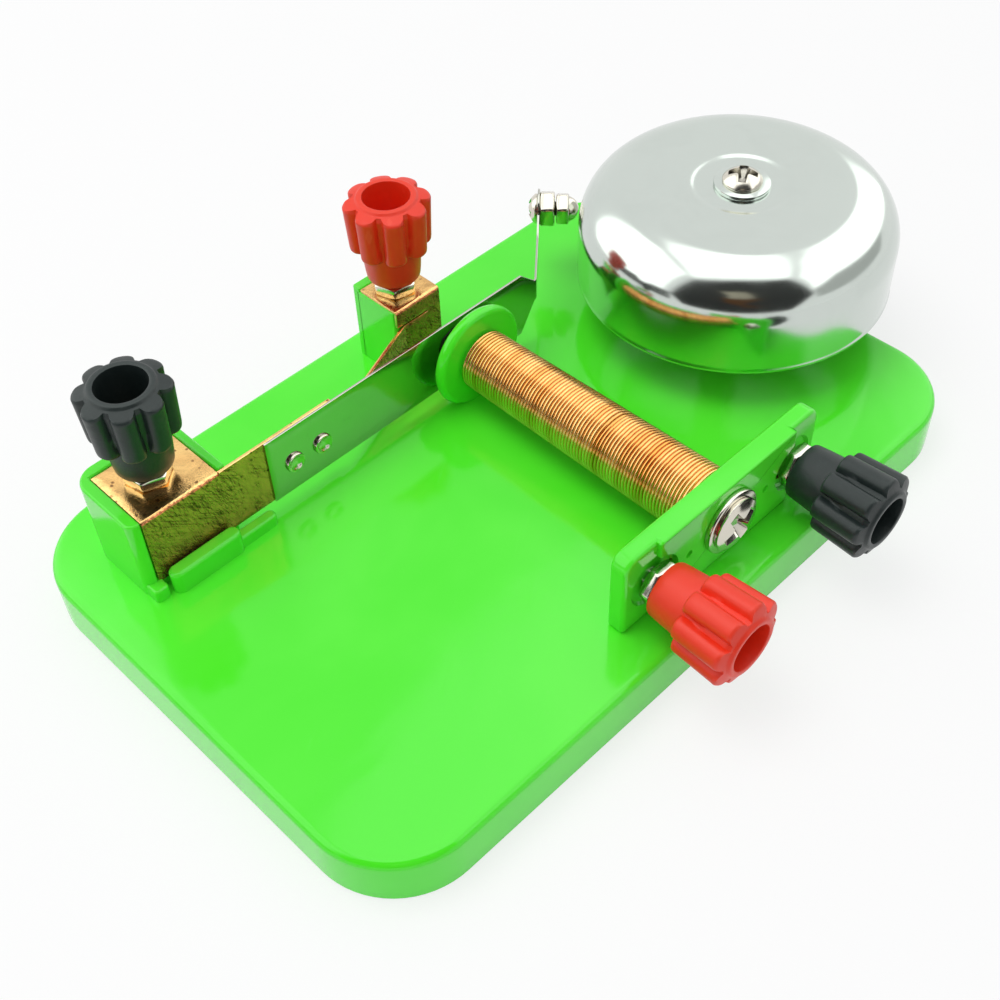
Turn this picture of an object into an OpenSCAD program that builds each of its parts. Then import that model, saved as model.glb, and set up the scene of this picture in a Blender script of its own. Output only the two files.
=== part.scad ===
// Electric bell demonstrator for the classroom.
// A moulded tray carries an electromagnet, a sprung armature with a hammer, a make-and-break contact,
// a gong on a pillar and four binding posts. Millimetres; the origin is on the underside of the base,
// below its centre. X runs along the base towards the gong, Y towards the armature, Z up.

/* [Base] */
// Length of the base
base_l = 140; // [136:0.5:146]
// Width of the base
base_w = 91.4; // [90:0.2:100]
// Height of the base, from the bench to its top face
base_h = 9.4; // [8.6:0.1:10.4]
// Radius of the base's corners in plan
corner_r = 14.9; // [10:0.1:18]
// Radius of the rounded edge round the top face
edge_r = 1.3; // [0.6:0.1:2]
// Thickness of the skirt
skirt_t = 2.4; // [1.8:0.1:3]
// Thickness of the top
top_t = 2.6; // [2:0.1:3]

/* [Magnet] */
// Wire turns that the winding form shows
form_turns = 23; // [12:1:23]
// Thickness of the winding form's tube
form_tube_d = 1.2; // [0.8:0.1:1.4]
// Diameter of the iron core
core_d = 8; // [7:0.1:8.2]
// Diameter of the round flange next to the armature
flange_d = 19.2; // [17.6:0.1:19.6]
// Height of the magnet's axis above the base
axis_rise = 8.6; // [8.4:0.1:8.8]
// Width of the rectangular end plate
plate_w = 46.8; // [44:0.2:50]
// Height of the end plate above the base
plate_h = 16.3; // [15:0.1:18]
// Distance between the two posts on the end plate
post_pitch = 33.8; // [30:0.2:35]

/* [Armature] */
// Gap between the core's pole face and the armature
air_gap = 1.8; // [1.2:0.1:2.4]
// Height of the armature strip
strip_h = 13.2; // [11:0.1:14]
// Thickness of the steel strip
steel_t = 0.4; // [0.3:0.05:0.5]
// Thickness of the copper sheet
copper_t = 0.6; // [0.4:0.05:0.7]
// Length of the hammer arm beyond its bend
hammer_l = 19.4; // [18:0.1:19.6]
// Angle of the bend in the hammer arm
hammer_angle = 42; // [40:1:44]

/* [Gong] */
// Outer diameter of the gong
gong_d = 57.4; // [52:0.2:57.6]
// Height of the gong from rim to crown
gong_h = 19; // [17:0.1:20]
// Radius of the gong's shoulder
gong_shoulder = 9.2; // [7:0.1:11]
// Thickness of the gong's wall
gong_t = 1; // [0.8:0.1:1.4]
// Height of the gong's rim above the bench
gong_rim_z = 18; // [17:0.1:19]

/* [Binding posts] */
// Length of a knob
knob_l = 16.2; // [15:0.1:18]
// Diameter across a knob's lobes at the mouth
knob_d = 15.2; // [14.6:0.1:16]
// Number of lobes round a knob
knob_lobes = 8; // [6:1:9]
// Diameter of the hole in a knob's mouth
mouth_d = 8.2; // [7.6:0.1:8.8]

/* [Hidden] */

$fn = 64;
eps = 0.01;

plastic_green = [0.22, 0.93, 0.13];
copper = [0.80, 0.46, 0.22];
wire_copper = [0.86, 0.52, 0.22];
steel = [0.75, 0.76, 0.76];
iron = [0.20, 0.20, 0.21];
chrome = [0.86, 0.87, 0.88];
brass = [0.82, 0.66, 0.30];
knob_black = [0.13, 0.16, 0.16];
knob_red = [0.86, 0.10, 0.08];

// Heights of the tray
roof_z = base_h - top_t;
rib_t = 1.8;
rib_x = [-24, 36];
rib_y = -2;

// Threads are plain cylinders: clearance round each one, in radius
thread_gap = 0.1;
m3_r = 1.5;
m4_r = 2;
m5_r = 2.5;

// Magnet: its axis runs along Y, and its flange stands in a shallow notch in the base
axis_x = 8.7;
axis_z = base_h + axis_rise;
notch_gap = 0.05;
notch_side_gap = 0.15;
plate_t = 3.3;
plate_back_y = -34.9;
plate_front_y = plate_back_y - plate_t;
plate_corner_r = 2.6;
// The end plate's middle stands proud between its posts, and each post has a round sink for its nut
pad_t = 0.9;
pad_front_y = plate_front_y - pad_t;
pad_inset = 0.6;
sink_r = 4.9;
sink_depth = 0.5;
flange_y = 15.9;
flange_t = 2.3;
pole_y = flange_y + flange_t + 0.2;
core_gap = 0.05;
bore_r = core_d / 2 + core_gap;
former_wall = 0.6;
former_taper = 0.8;
former_rear_r = bore_r + former_wall;
former_front_r = former_rear_r + former_taper;
winding_l = flange_y - plate_back_y;
plate_mid_z = base_h + plate_h / 2;
lead_hole_r = 0.7;
lead_hole_pitch = 18.8;
tab_w = 8;
tab_t = 2;
tab_pitch = 24;
tab_gap = 0.1;

// Left stand, which holds the armature's bracket
strip_front_y = pole_y + air_gap;
strip_back_y = strip_front_y + steel_t;
sheet_front_y = strip_back_y;
sheet_back_y = sheet_front_y + copper_t;
seat_z = 24.6;
sheet_top_z = seat_z + copper_t;
strip_top_z = sheet_top_z;
strip_low_z = strip_top_z - strip_h;
left_sheet = [[-58.5, sheet_front_y], [-43.8, 34.3]];
socket_wall = 2.2;
socket_rim = 0.3;
sheet_gap = 0.1;
socket_corner_r = 4;
ridge_top_z = 13.8;
ridge_low_z = 11.7;
ridge_t = 2.8;
ridge_low_t = 2.2;
ridge_gap = 0.3;
ridge_mid_x = -43.7;
pivot_x = -36.4;
pivot_seam = 0.1;

// Rear stand, which holds the contact bracket
rear_sheet = [[1, 28.9], [11.2, 38.4]];
rear_wall = 2.1;
tongue_top_z = 21.4;
tongue_low_z = 12.6;
tongue_root_x = 8.2;
tongue_bend_x = 2.8;
slit_w = 0.35;
tongue_gap = 0.1;
tongue_tip_x = -17.6;
tongue_pad_l = 2.4;

// Armature
arm_end_x = -21;
strip_x = -35.1;
strip_end_x = 26.6;
strip_end_low_slope = 3.6;
strip_end_top_slope = 3.4;
hammer_root_low_z = 17.8;
hammer_root_top_z = 22.2;
hammer_z = 23.4;
hammer_eye_r = 3.7;
hammer_screw_l = 5.6;
striker_seat = 3.1;
striker_dome_r = 2.45;
bend_r = 0.8;
rivet_x = [-30.1, -24.2];
rivet_z = 17.8;
rivet_r = 1;
rivet_head_r = 1.55;
rivet_head_h = 0.6;

// Gong
gong_x = 57.8;
gong_y = -0.6;
gong_r = gong_d / 2;
gong_top_z = gong_rim_z + gong_h;
dish_r = 8.8;
dish_depth = 0.3;
pillar_r = 4;
gong_washer_r = 5.3;
gong_washer_t = 0.8;

// Screw heads: radius and height
m4_head = [4, 2.4];
m5_head = [4.7, 3];
m3_head = [2.8, 1.9];
core_washer_r = 5.85;
core_washer_t = 1;
core_screw_l = 15;
pillar_screw_l = 11;

// Nuts: width across flats and height
m4_nut = [7, 2.2];
m3_nut = [5.5, 2.4];

// Binding posts: the place of each nut's seat, and how far the knob stands off its nut
left_post = [-51.6, 28.3, sheet_top_z];
rear_post = [5.9, 34.5, sheet_top_z];
wire_d = 0.85;
coil_nut_y = plate_front_y + sink_depth - wire_d;
coil_red_post = [axis_x - post_pitch / 2, coil_nut_y, plate_mid_z];
coil_black_post = [axis_x + post_pitch / 2, coil_nut_y, plate_mid_z];
upright_gap = 1;
coil_gap = 0.12;

// Knobs: lobes that lean outwards from a plain barrel, round a brass insert
insert_l = 6;
insert_r = 3;
insert_running_gap = 0.05;
knob_floor = 7;
stud_end = 6.8;
barrel_low_r = 4.75;
barrel_top_r = 5.3;
lobe_r = 1.65;
lobe_z = 6.3;
lobe_lean = 0.5;
lobe_web = 0.35;
lobe_chamfer = 0.7;
lip_h = 0.5;
lip_t = 0.95;

// ---------------------------------------------------------------- shared shapes

module rounded_rect(l, w, r) {
    square([l - 2 * r, w], center = true);
    square([l, w - 2 * r], center = true);
    for (sx = [-1, 1], sy = [-1, 1]) translate([sx * (l / 2 - r), sy * (w / 2 - r)]) circle(r);
}

module quarter(r) {
    intersection() {
        circle(r);
        square(r);
    }
}

// A slab with round corners and a rounded edge round its top face
module soft_slab(l, w, r, h, e) {
    linear_extrude(h - e) rounded_rect(l, w, r);
    linear_extrude(h) rounded_rect(l - 2 * e, w - 2 * e, r - e);
    translate([0, 0, h - e]) {
        for (s = [0, 1]) rotate(180 * s) {
            translate([l / 2 - r, w / 2 - r, 0]) rotate_extrude(angle = 90) translate([r - e, 0]) quarter(e);
            translate([r - l / 2, w / 2 - r, 0]) rotate(90) rotate_extrude(angle = 90)
                translate([r - e, 0]) quarter(e);
            translate([l / 2 - e, w / 2 - r, 0]) rotate([90, 0, 0]) linear_extrude(w - 2 * r) quarter(e);
            translate([r - l / 2, w / 2 - e, 0]) rotate([90, 0, 90]) linear_extrude(l - 2 * r) quarter(e);
        }
    }
}

// A box between two corners
module block(low, high) {
    translate(low) cube(high - low);
}

// A hex nut on its bore, standing on z = 0, with both faces chamfered
module hex_nut(size, bore_r) {
    corner = size[0] / 2 / cos(30);
    flat = size[0] / 2 * 0.97;
    slope = (corner - flat) * tan(30);
    difference() {
        intersection() {
            cylinder(h = size[1], r = corner, $fn = 6);
            rotate_extrude() polygon([[0, 0], [flat, 0], [corner, slope], [corner, size[1] - slope],
                [flat, size[1]], [0, size[1]]]);
        }
        translate([0, 0, -1]) cylinder(h = size[1] + 2, r = bore_r);
    }
}

// A domed pan head with a cross recess, standing on z = 0
module pan_head(size) {
    dome = size[0] * 1.25;
    arm = size[0] * 1.05;
    blade = size[0] * 0.2;
    difference() {
        intersection() {
            cylinder(h = size[1], r = size[0]);
            translate([0, 0, size[1] - dome]) sphere(dome);
        }
        for (a = [0, 90]) rotate(a)
            translate([-arm / 2, -blade / 2, size[1] * 0.45]) cube([arm, blade, size[1]]);
    }
}

// A screw whose head stands on z = 0 and whose shank runs down
module pan_screw(head, shank_r, shank_l) {
    pan_head(head);
    translate([0, 0, -shank_l]) cylinder(h = shank_l + eps, r = shank_r);
}

// A flat washer standing on z = 0
module washer(r, hole_r, t) {
    difference() {
        cylinder(h = t, r = r);
        translate([0, 0, -1]) cylinder(h = t + 2, r = hole_r);
    }
}

// Puts a post's own frame, +Z out of the post, at its nut's seat
module upright(place) {
    translate(place) children();
}

module facing_front(place) {
    translate(place) rotate([90, 0, 0]) children();
}

// ---------------------------------------------------------------- binding posts

// The threaded stud: its head is held below the seat, and it ends inside the knob
module post_stud(below, gap) {
    color(steel) {
        translate([0, 0, -below - eps]) cylinder(h = below + eps + m4_nut[1] + gap + stud_end, r = m4_r);
        translate([0, 0, -below]) rotate([180, 0, 0]) pan_head(m4_head);
    }
}

module post_nut(turn) {
    color(steel) rotate(turn) hex_nut(m4_nut, m4_r + thread_gap);
}

// The lobes and the cone between them, cut flat below and sloped above
module knob_lobes_body(lobe_top) {
    lobe_h = lobe_top - lobe_z;
    lobe_place = knob_d / 2 - lobe_r;
    web_r = lobe_place - lobe_web;
    intersection() {
        union() {
            translate([0, 0, lobe_z]) cylinder(h = lobe_h, r1 = web_r - lobe_lean, r2 = web_r);
            for (i = [0 : knob_lobes - 1]) rotate(i * 360 / knob_lobes)
                translate([lobe_place - lobe_lean, 0, lobe_z]) rotate([0, atan2(lobe_lean, lobe_h), 0])
                    translate([0, 0, -1]) cylinder(h = lobe_h + 2, r = lobe_r, $fn = 32);
        }
        rotate_extrude() polygon([[0, lobe_z], [knob_d, lobe_z], [knob_d, lobe_top - lobe_chamfer],
            [knob_d / 2, lobe_top - lobe_chamfer], [knob_d / 2 - lobe_chamfer * 1.6, lobe_top],
            [0, lobe_top]]);
    }
}

// The cap: a plain barrel below, lobes above, and an open mouth with a raised lip
module knob(gap, turn, tint) {
    lobe_top = knob_l - lip_h;
    lip_r = mouth_d / 2 + lip_t;
    translate([0, 0, m4_nut[1] + gap]) rotate(turn) color(tint) difference() {
        union() {
            cylinder(h = lobe_z + eps, r1 = barrel_low_r, r2 = barrel_top_r);
            knob_lobes_body(lobe_top);
            translate([0, 0, lobe_top - eps]) cylinder(h = lip_h + eps, r1 = lip_r + 0.25, r2 = lip_r);
        }
        translate([0, 0, knob_floor]) cylinder(h = knob_l, r = mouth_d / 2);
        translate([0, 0, -1]) cylinder(h = knob_l, r = m4_r + 0.2);
        translate([0, 0, -1]) cylinder(h = insert_l + 1, r = insert_r + 0.02);
    }
}

// The threaded brass insert that the cap is moulded on
module knob_insert(gap) {
    translate([0, 0, m4_nut[1] + gap]) color(brass) difference() {
        cylinder(h = insert_l, r = insert_r);
        translate([0, 0, -1]) cylinder(h = insert_l + 2, r = m4_r + insert_running_gap);
    }
}

// ---------------------------------------------------------------- base

// The U-shaped socket on the left: a solid seat with a low rim, a small foot at the front end of its
// left wall, and two ridges in front of the sheet
module left_stand() {
    low = left_sheet[0];
    high = left_sheet[1];
    outer_x = low[0] - sheet_gap - socket_wall;
    outer_y = high[1] + sheet_gap + socket_wall;
    right_x = high[0] + sheet_gap + 1.6;
    wall_front_y = 20.6;
    wall_end_r = 1.5;
    foot_low = [outer_x + 0.2, 18.6];
    foot_high = [low[0] + 0.6, sheet_front_y - 0.2];
    foot_top_z = 11.9;
    rim_z = sheet_top_z + socket_rim;
    block([low[0] - 0.5, sheet_back_y + sheet_gap, base_h - eps], [high[0] + 0.5, high[1] + 0.5, seat_z]);
    difference() {
        translate([0, 0, base_h - eps]) linear_extrude(rim_z - base_h) union() {
            translate([outer_x + socket_corner_r, outer_y - socket_corner_r]) circle(socket_corner_r);
            translate([outer_x, wall_front_y + wall_end_r])
                square([socket_corner_r, outer_y - wall_front_y - wall_end_r - socket_corner_r]);
            translate([outer_x + wall_end_r, wall_front_y])
                square([socket_corner_r - wall_end_r, wall_end_r + eps]);
            translate([outer_x + wall_end_r, wall_front_y + wall_end_r]) circle(wall_end_r);
            translate([outer_x + socket_corner_r, outer_y - socket_corner_r])
                square([right_x - outer_x - socket_corner_r, socket_corner_r]);
            translate([outer_x + socket_corner_r, sheet_back_y + sheet_gap])
                square([right_x - outer_x - socket_corner_r, outer_y - sheet_back_y - sheet_gap - 0.5]);
        }
        // the seat for the sheet, open to the front
        block([low[0] - sheet_gap, 0, seat_z], [high[0] + sheet_gap, high[1] + sheet_gap, rim_z + 1]);
        block([low[0] - sheet_gap, 0, base_h], [high[0] + 9, sheet_back_y + sheet_gap, rim_z + 1]);
    }
    block([foot_low[0], foot_low[1], base_h - eps], [foot_high[0], foot_high[1], foot_top_z]);
    block([foot_low[0], foot_high[1] - eps, base_h - eps],
        [low[0] - sheet_gap, wall_front_y + wall_end_r, foot_top_z]);
    ridge(low[0] + 1.2, ridge_mid_x, ridge_top_z, ridge_t);
    ridge(ridge_mid_x - 1, pivot_x, ridge_low_z, ridge_low_t);
}

// A low wall with a round front corner at each end, in front of the hanging sheet
module ridge(x0, x1, top, t) {
    back_y = sheet_front_y - ridge_gap;
    r = t / 2;
    translate([0, 0, base_h - eps]) linear_extrude(top - base_h) union() {
        translate([x0 + r, back_y - t]) square([x1 - x0 - 2 * r, t]);
        for (x = [x0 + r, x1 - r]) translate([x, back_y - r]) circle(r);
    }
}

module rear_stand() {
    low = rear_sheet[0];
    high = rear_sheet[1];
    block([low[0] - 0.1, low[1] + copper_t + sheet_gap, base_h - eps], [high[0] + 0.1, high[1] + 1, seat_z]);
    block([low[0] - 0.1, high[1] + sheet_gap, base_h - eps],
        [high[0] + 0.1, high[1] + rear_wall, sheet_top_z + 0.1]);
}

module tray() {
    difference() {
        soft_slab(base_l, base_w, corner_r, base_h, edge_r);
        translate([0, 0, -1]) linear_extrude(roof_z + 1)
            rounded_rect(base_l - 2 * skirt_t, base_w - 2 * skirt_t, corner_r - skirt_t);
    }
    inner_w = base_w - skirt_t;
    inner_l = base_l - skirt_t;
    for (x = rib_x) translate([x - rib_t / 2, -inner_w / 2, 0]) cube([rib_t, inner_w, roof_z + eps]);
    translate([-inner_l / 2, rib_y - rib_t / 2, 0]) cube([inner_l, rib_t, roof_z + eps]);
}

module base() {
    screw_hole_r = m4_r + 0.2;
    color(plastic_green) difference() {
        union() {
            tray();
            left_stand();
            rear_stand();
        }
        translate([gong_x, gong_y, -1]) cylinder(h = base_h + 2, r = screw_hole_r);
        translate([gong_x, gong_y, -1]) cylinder(h = roof_z + 1, r = m4_head[0] + 1);
        translate([left_post[0], left_post[1], -1]) cylinder(h = seat_z + 2, r = screw_hole_r);
        translate([rear_post[0], rear_post[1], -1]) cylinder(h = seat_z + 2, r = screw_hole_r);
        for (s = [-1, 1])
            translate([axis_x + s * tab_pitch / 2, (plate_back_y + plate_front_y) / 2, roof_z - 1])
                linear_extrude(top_t + 2) square([tab_w + 2 * tab_gap, tab_t + 2 * tab_gap], center = true);
        along_magnet(flange_y - notch_side_gap)
            cylinder(h = flange_t + 2 * notch_side_gap, r = flange_d / 2 + notch_gap);
    }
}

// ---------------------------------------------------------------- magnet

// Puts a shape's own +Z along the magnet's axis, from the end plate towards the armature
module along_magnet(y) {
    translate([axis_x, y, axis_z]) rotate([-90, 0, 0]) children();
}

module end_plate() {
    mid = [axis_x, plate_front_y, base_h];
    pad_w = post_pitch - 2 * pad_inset;
    translate(mid) rotate([-90, 0, 0]) mirror([0, 1, 0]) linear_extrude(plate_t) {
        translate([-plate_w / 2, 0]) square([plate_w, plate_h - plate_corner_r]);
        translate([plate_corner_r - plate_w / 2, 0]) square([plate_w - 2 * plate_corner_r, plate_h]);
        for (s = [-1, 1]) translate([s * (plate_w / 2 - plate_corner_r), plate_h - plate_corner_r])
            circle(plate_corner_r);
    }
    block([axis_x - pad_w / 2, pad_front_y, base_h],
        [axis_x + pad_w / 2, plate_front_y + eps, base_h + plate_h]);
    for (s = [-1, 1]) block(
        [axis_x + s * tab_pitch / 2 - tab_w / 2, (plate_back_y + plate_front_y - tab_t) / 2, roof_z - 1],
        [axis_x + s * tab_pitch / 2 + tab_w / 2, (plate_back_y + plate_front_y + tab_t) / 2, base_h + eps]);
}

module coil_former() {
    round_r = flange_t / 2;
    color(plastic_green) difference() {
        union() {
            end_plate();
            along_magnet(plate_back_y - eps)
                cylinder(h = winding_l + 2 * eps, r1 = former_front_r, r2 = former_rear_r);
            along_magnet(flange_y) rotate_extrude() {
                square([flange_d / 2 - round_r, flange_t]);
                translate([flange_d / 2 - round_r, round_r]) circle(round_r, $fn = 32);
            }
        }
        along_magnet(plate_back_y) cylinder(h = winding_l + flange_t + 1, r = bore_r);
        along_magnet(pad_front_y - 1) cylinder(h = plate_t + pad_t + 2, r = m5_r + 0.2);
        for (s = [-1, 1]) {
            translate([axis_x + s * post_pitch / 2, plate_back_y + 1, plate_mid_z]) rotate([90, 0, 0])
                cylinder(h = plate_t + 2, r = m4_r + 0.2);
            translate([axis_x + s * post_pitch / 2, plate_front_y + sink_depth, plate_mid_z])
                rotate([90, 0, 0]) cylinder(h = sink_depth + pad_t + 1, r = sink_r);
            translate([axis_x + s * lead_hole_pitch / 2, plate_back_y + 1, plate_mid_z]) rotate([90, 0, 0])
                cylinder(h = plate_t + pad_t + 2, r = lead_hole_r);
        }
    }
}

// The winding form's path on its tapered drum: [angle, height, slope of the tangent, drum radius].
// Each end runs straight along the drum, then bends round into the turns.
form_bend = form_tube_d;
form_pitch = (winding_l - 2 * form_tube_d - 2 * form_bend) / form_turns;
form_steps = 24;
form_sides = 6;
form_gap = 0.1;

function form_r(z) = former_front_r - former_taper * z / winding_l + form_gap + form_tube_d / 2;
function to_angle(s, z) = s / form_r(z) * 180 / PI;
form_first_z = form_tube_d + form_bend;
form_last_z = winding_l - form_first_z;
form_last_angle = to_angle(form_bend, form_first_z) + 360 * form_turns;
form_path = concat(
    [for (z = [0.02, form_tube_d * 0.6]) [0, z, 90, form_r(z)]],
    [for (a = [0 : 22.5 : 67.5]) let (z = form_tube_d + form_bend * sin(a))
        [to_angle(form_bend * (1 - cos(a)), z), z, 90 - a, form_r(z)]],
    [for (i = [0 : form_turns * form_steps]) let (z = form_first_z + form_pitch * i / form_steps)
        [to_angle(form_bend, form_first_z) + 360 * i / form_steps, z, 3, form_r(z)]],
    [for (a = [22.5 : 22.5 : 90]) let (z = form_last_z + form_bend * (1 - cos(a)))
        [form_last_angle + to_angle(form_bend * sin(a), z), z, a, form_r(z)]],
    [for (z = [winding_l - form_tube_d * 0.6, winding_l - 0.02])
        [form_last_angle + to_angle(form_bend, z), z, 90, form_r(z)]]);

function form_centre(p) = [p[3] * cos(p[0]), p[3] * sin(p[0]), p[1]];
function form_ring(p) = let (
    out = [cos(p[0]), sin(p[0]), 0],
    along = [-sin(p[0]) * cos(p[2]), cos(p[0]) * cos(p[2]), sin(p[2])],
    side = cross(along, out))
    [for (j = [0 : form_sides - 1]) let (a = 360 * j / form_sides)
        form_centre(p) + form_tube_d / 2 * (cos(a) * out + sin(a) * side)];

// Faces of a tube of rings, in triangles, with its two ends closed
function tube_faces(rings, sides) = concat(
    [for (i = [0 : rings - 2], j = [0 : sides - 1], half = [0, 1]) let (
        a = i * sides + j,
        b = i * sides + (j + 1) % sides)
        half == 0 ? [a, b, a + sides] : [b, b + sides, a + sides]],
    [for (j = [1 : sides - 2]) [0, j + 1, j]],
    [for (j = [1 : sides - 2]) let (first = (rings - 1) * sides) [first, first + j, first + j + 1]]);

// The least gap between one turn of the form and the next, measured centre to centre on its points
form_centres = [for (p = form_path) form_centre(p)];
form_least_gap = min([for (i = [0 : len(form_centres) - 1 - form_steps / 2],
    j = [i + form_steps / 2 : min(i + form_steps * 3 / 2, len(form_centres) - 1)])
    norm(form_centres[i] - form_centres[j])]) - form_tube_d;
echo(least_gap_in_winding_mm = form_least_gap);

module coil_winding() {
    color(wire_copper) along_magnet(plate_back_y) polyhedron(
        points = [for (p = form_path) each form_ring(p)],
        faces = tube_faces(len(form_path), form_sides));
}

// Lead wires: each goes through its hole in the end plate, down into the post's sink and round the
// stud under the nut. One starts at the plate, the other runs back from the flange.
lead_sides = 8;
lead_r = wire_d / 2 - 0.01;
lead_loop_r = m4_r + wire_d / 2 + 0.08;
lead_front_y = pad_front_y - wire_d / 2;
lead_sink_y = coil_nut_y + wire_d / 2;
lead_return_x = former_rear_r + former_taper + form_tube_d + wire_d + 0.05;

function front_lead_path(s, post) = let (
    hole_x = axis_x + s * lead_hole_pitch / 2,
    sink_x = post[0] - s * sink_r,
    z = post[2])
    concat(
        [[hole_x, plate_back_y + 0.6, z], [hole_x, plate_back_y, z], [hole_x, pad_front_y + 0.9, z],
            [hole_x + s * 0.12, pad_front_y + 0.05, z], [hole_x + s * 0.55, lead_front_y + 0.06, z - 0.1],
            [hole_x + s * 1.1, lead_front_y, z - 0.3], [sink_x - s * 0.5, lead_front_y, z - 0.6],
            [sink_x + s * 0.35, lead_front_y + 0.12, z - 0.8],
            [sink_x + s * 0.75, (lead_front_y + lead_sink_y) / 2, z - 1],
            [sink_x + s * 1.1, lead_sink_y - 0.12, z - 1.2]],
        [for (a = [-48 : 24 : 96]) [post[0] + s * lead_loop_r * sin(a), lead_sink_y,
            z - lead_loop_r * cos(a)]]);

function return_path(post) = let (hole_x = axis_x + lead_hole_pitch / 2, z = post[2]) [
    [axis_x + lead_return_x, flange_y - 0.05, axis_z + 0.8], [axis_x + lead_return_x, 8, axis_z + 0.8],
    [axis_x + lead_return_x, -6, axis_z + 0.7], [axis_x + lead_return_x, -20, axis_z + 0.6],
    [axis_x + lead_return_x + 0.1, -28, axis_z + 0.4], [axis_x + lead_return_x + 0.6, -31, axis_z],
    [hole_x - 0.4, -33.2, z + 0.4]];

function path_along(p, i) = let (last = len(p) - 1, d = p[min(i + 1, last)] - p[max(i - 1, 0)]) d / norm(d);
function path_ring(p, i) = let (
    along = path_along(p, i),
    hint = abs(along[1]) > 0.7 ? [0, 0, 1] : [0, 1, 0],
    out = cross(along, cross(hint, along)) / norm(cross(hint, along)),
    side = cross(along, out))
    [for (j = [0 : lead_sides - 1]) let (a = 360 * j / lead_sides)
        p[i] + lead_r * (cos(a) * out + sin(a) * side)];

module lead_wire(p) {
    polyhedron(points = [for (i = [0 : len(p) - 1]) each path_ring(p, i)],
        faces = tube_faces(len(p), lead_sides));
}

module coil_leads() {
    color(wire_copper) {
        lead_wire(front_lead_path(-1, coil_red_post));
        lead_wire(concat(return_path(coil_black_post), front_lead_path(1, coil_black_post)));
    }
}

module core() {
    tapped = 16;
    color(iron) along_magnet(plate_back_y) difference() {
        cylinder(h = pole_y - plate_back_y, r = core_d / 2);
        translate([0, 0, -1]) cylinder(h = tapped + 1, r = m5_r + thread_gap);
    }
}

module core_washer() {
    color(steel) along_magnet(pad_front_y - core_washer_t) washer(core_washer_r, m5_r + 0.25, core_washer_t);
}

module core_screw() {
    color(steel) translate([axis_x, pad_front_y - core_washer_t, axis_z]) rotate([90, 0, 0])
        rotate(20) pan_screw(m5_head, m5_r, core_screw_l);
}

// ---------------------------------------------------------------- copper brackets

// A folded angle: a top plate that lies on its stand and a front plate that hangs from its edge,
// joined by a rounded fold
module folded_top(sheet) {
    low = sheet[0];
    high = sheet[1];
    r = copper_t * 1.2;
    block([low[0], low[1] + r, seat_z], [high[0], high[1], sheet_top_z]);
    translate([low[0], low[1] + r, sheet_top_z - r]) rotate([90, 0, 90]) linear_extrude(high[0] - low[0])
        mirror([1, 0]) difference() {
            quarter(r);
            circle(r - copper_t, $fn = 32);
        }
}

module contact_bracket() {
    low = rear_sheet[0];
    high = rear_sheet[1];
    r = copper_t * 1.2;
    bend = atan2(low[1] - strip_back_y - tongue_gap - copper_t / 2, tongue_bend_x - tongue_tip_x);
    tongue_l = (tongue_bend_x - tongue_tip_x) / cos(bend);
    color(copper) difference() {
        union() {
            folded_top(rear_sheet);
            block([low[0], low[1], tongue_top_z + slit_w], [high[0], low[1] + copper_t, sheet_top_z - r]);
            block([tongue_bend_x, low[1], tongue_low_z], [high[0], low[1] + copper_t, tongue_top_z]);
            block([tongue_root_x, low[1], tongue_top_z - eps], [high[0], low[1] + copper_t,
                tongue_top_z + slit_w + eps]);
            // the tongue leans across to the back of the armature and ends in a short flat pad
            translate([tongue_bend_x, low[1] + copper_t / 2, tongue_low_z]) {
                cylinder(h = tongue_top_z - tongue_low_z, r = copper_t / 2, $fn = 24);
                rotate(180 + bend) translate([0, -copper_t / 2, 0])
                    cube([tongue_l, copper_t, tongue_top_z - tongue_low_z]);
            }
            block([tongue_tip_x - tongue_pad_l, strip_back_y + tongue_gap, tongue_low_z],
                [tongue_tip_x + 0.1, strip_back_y + tongue_gap + copper_t, tongue_top_z]);
        }
        translate([rear_post[0], rear_post[1], seat_z - 1]) cylinder(h = 3, r = m4_r + 0.2);
    }
}

module armature_bracket() {
    low = left_sheet[0];
    high = left_sheet[1];
    r = copper_t * 1.2;
    color(copper) difference() {
        union() {
            folded_top(left_sheet);
            block([low[0], sheet_front_y, strip_low_z - 0.6], [high[0], sheet_back_y, sheet_top_z - r]);
            block([high[0] - eps, sheet_front_y, strip_low_z],
                [pivot_x - pivot_seam / 2, sheet_back_y, sheet_top_z]);
        }
        translate([left_post[0], left_post[1], seat_z - 1]) cylinder(h = 3, r = m4_r + 0.2);
    }
}

// ---------------------------------------------------------------- armature

module rivet_holes(y) {
    for (x = rivet_x) translate([x, y, rivet_z]) rotate([90, 0, 0])
        cylinder(h = 4, r = rivet_r + 0.04, center = true);
}

module armature_arm() {
    color(copper) difference() {
        block([pivot_x + pivot_seam / 2, sheet_front_y, strip_low_z], [arm_end_x, sheet_back_y, strip_top_z]);
        rivet_holes(sheet_front_y);
    }
}

// Puts a shape's own frame at the hammer arm: +X along the arm, -Y towards the gong
module at_hammer() {
    translate([strip_end_x, strip_back_y + bend_r, 0]) rotate(hammer_angle)
        translate([0, -bend_r - steel_t, 0]) children();
}

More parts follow.
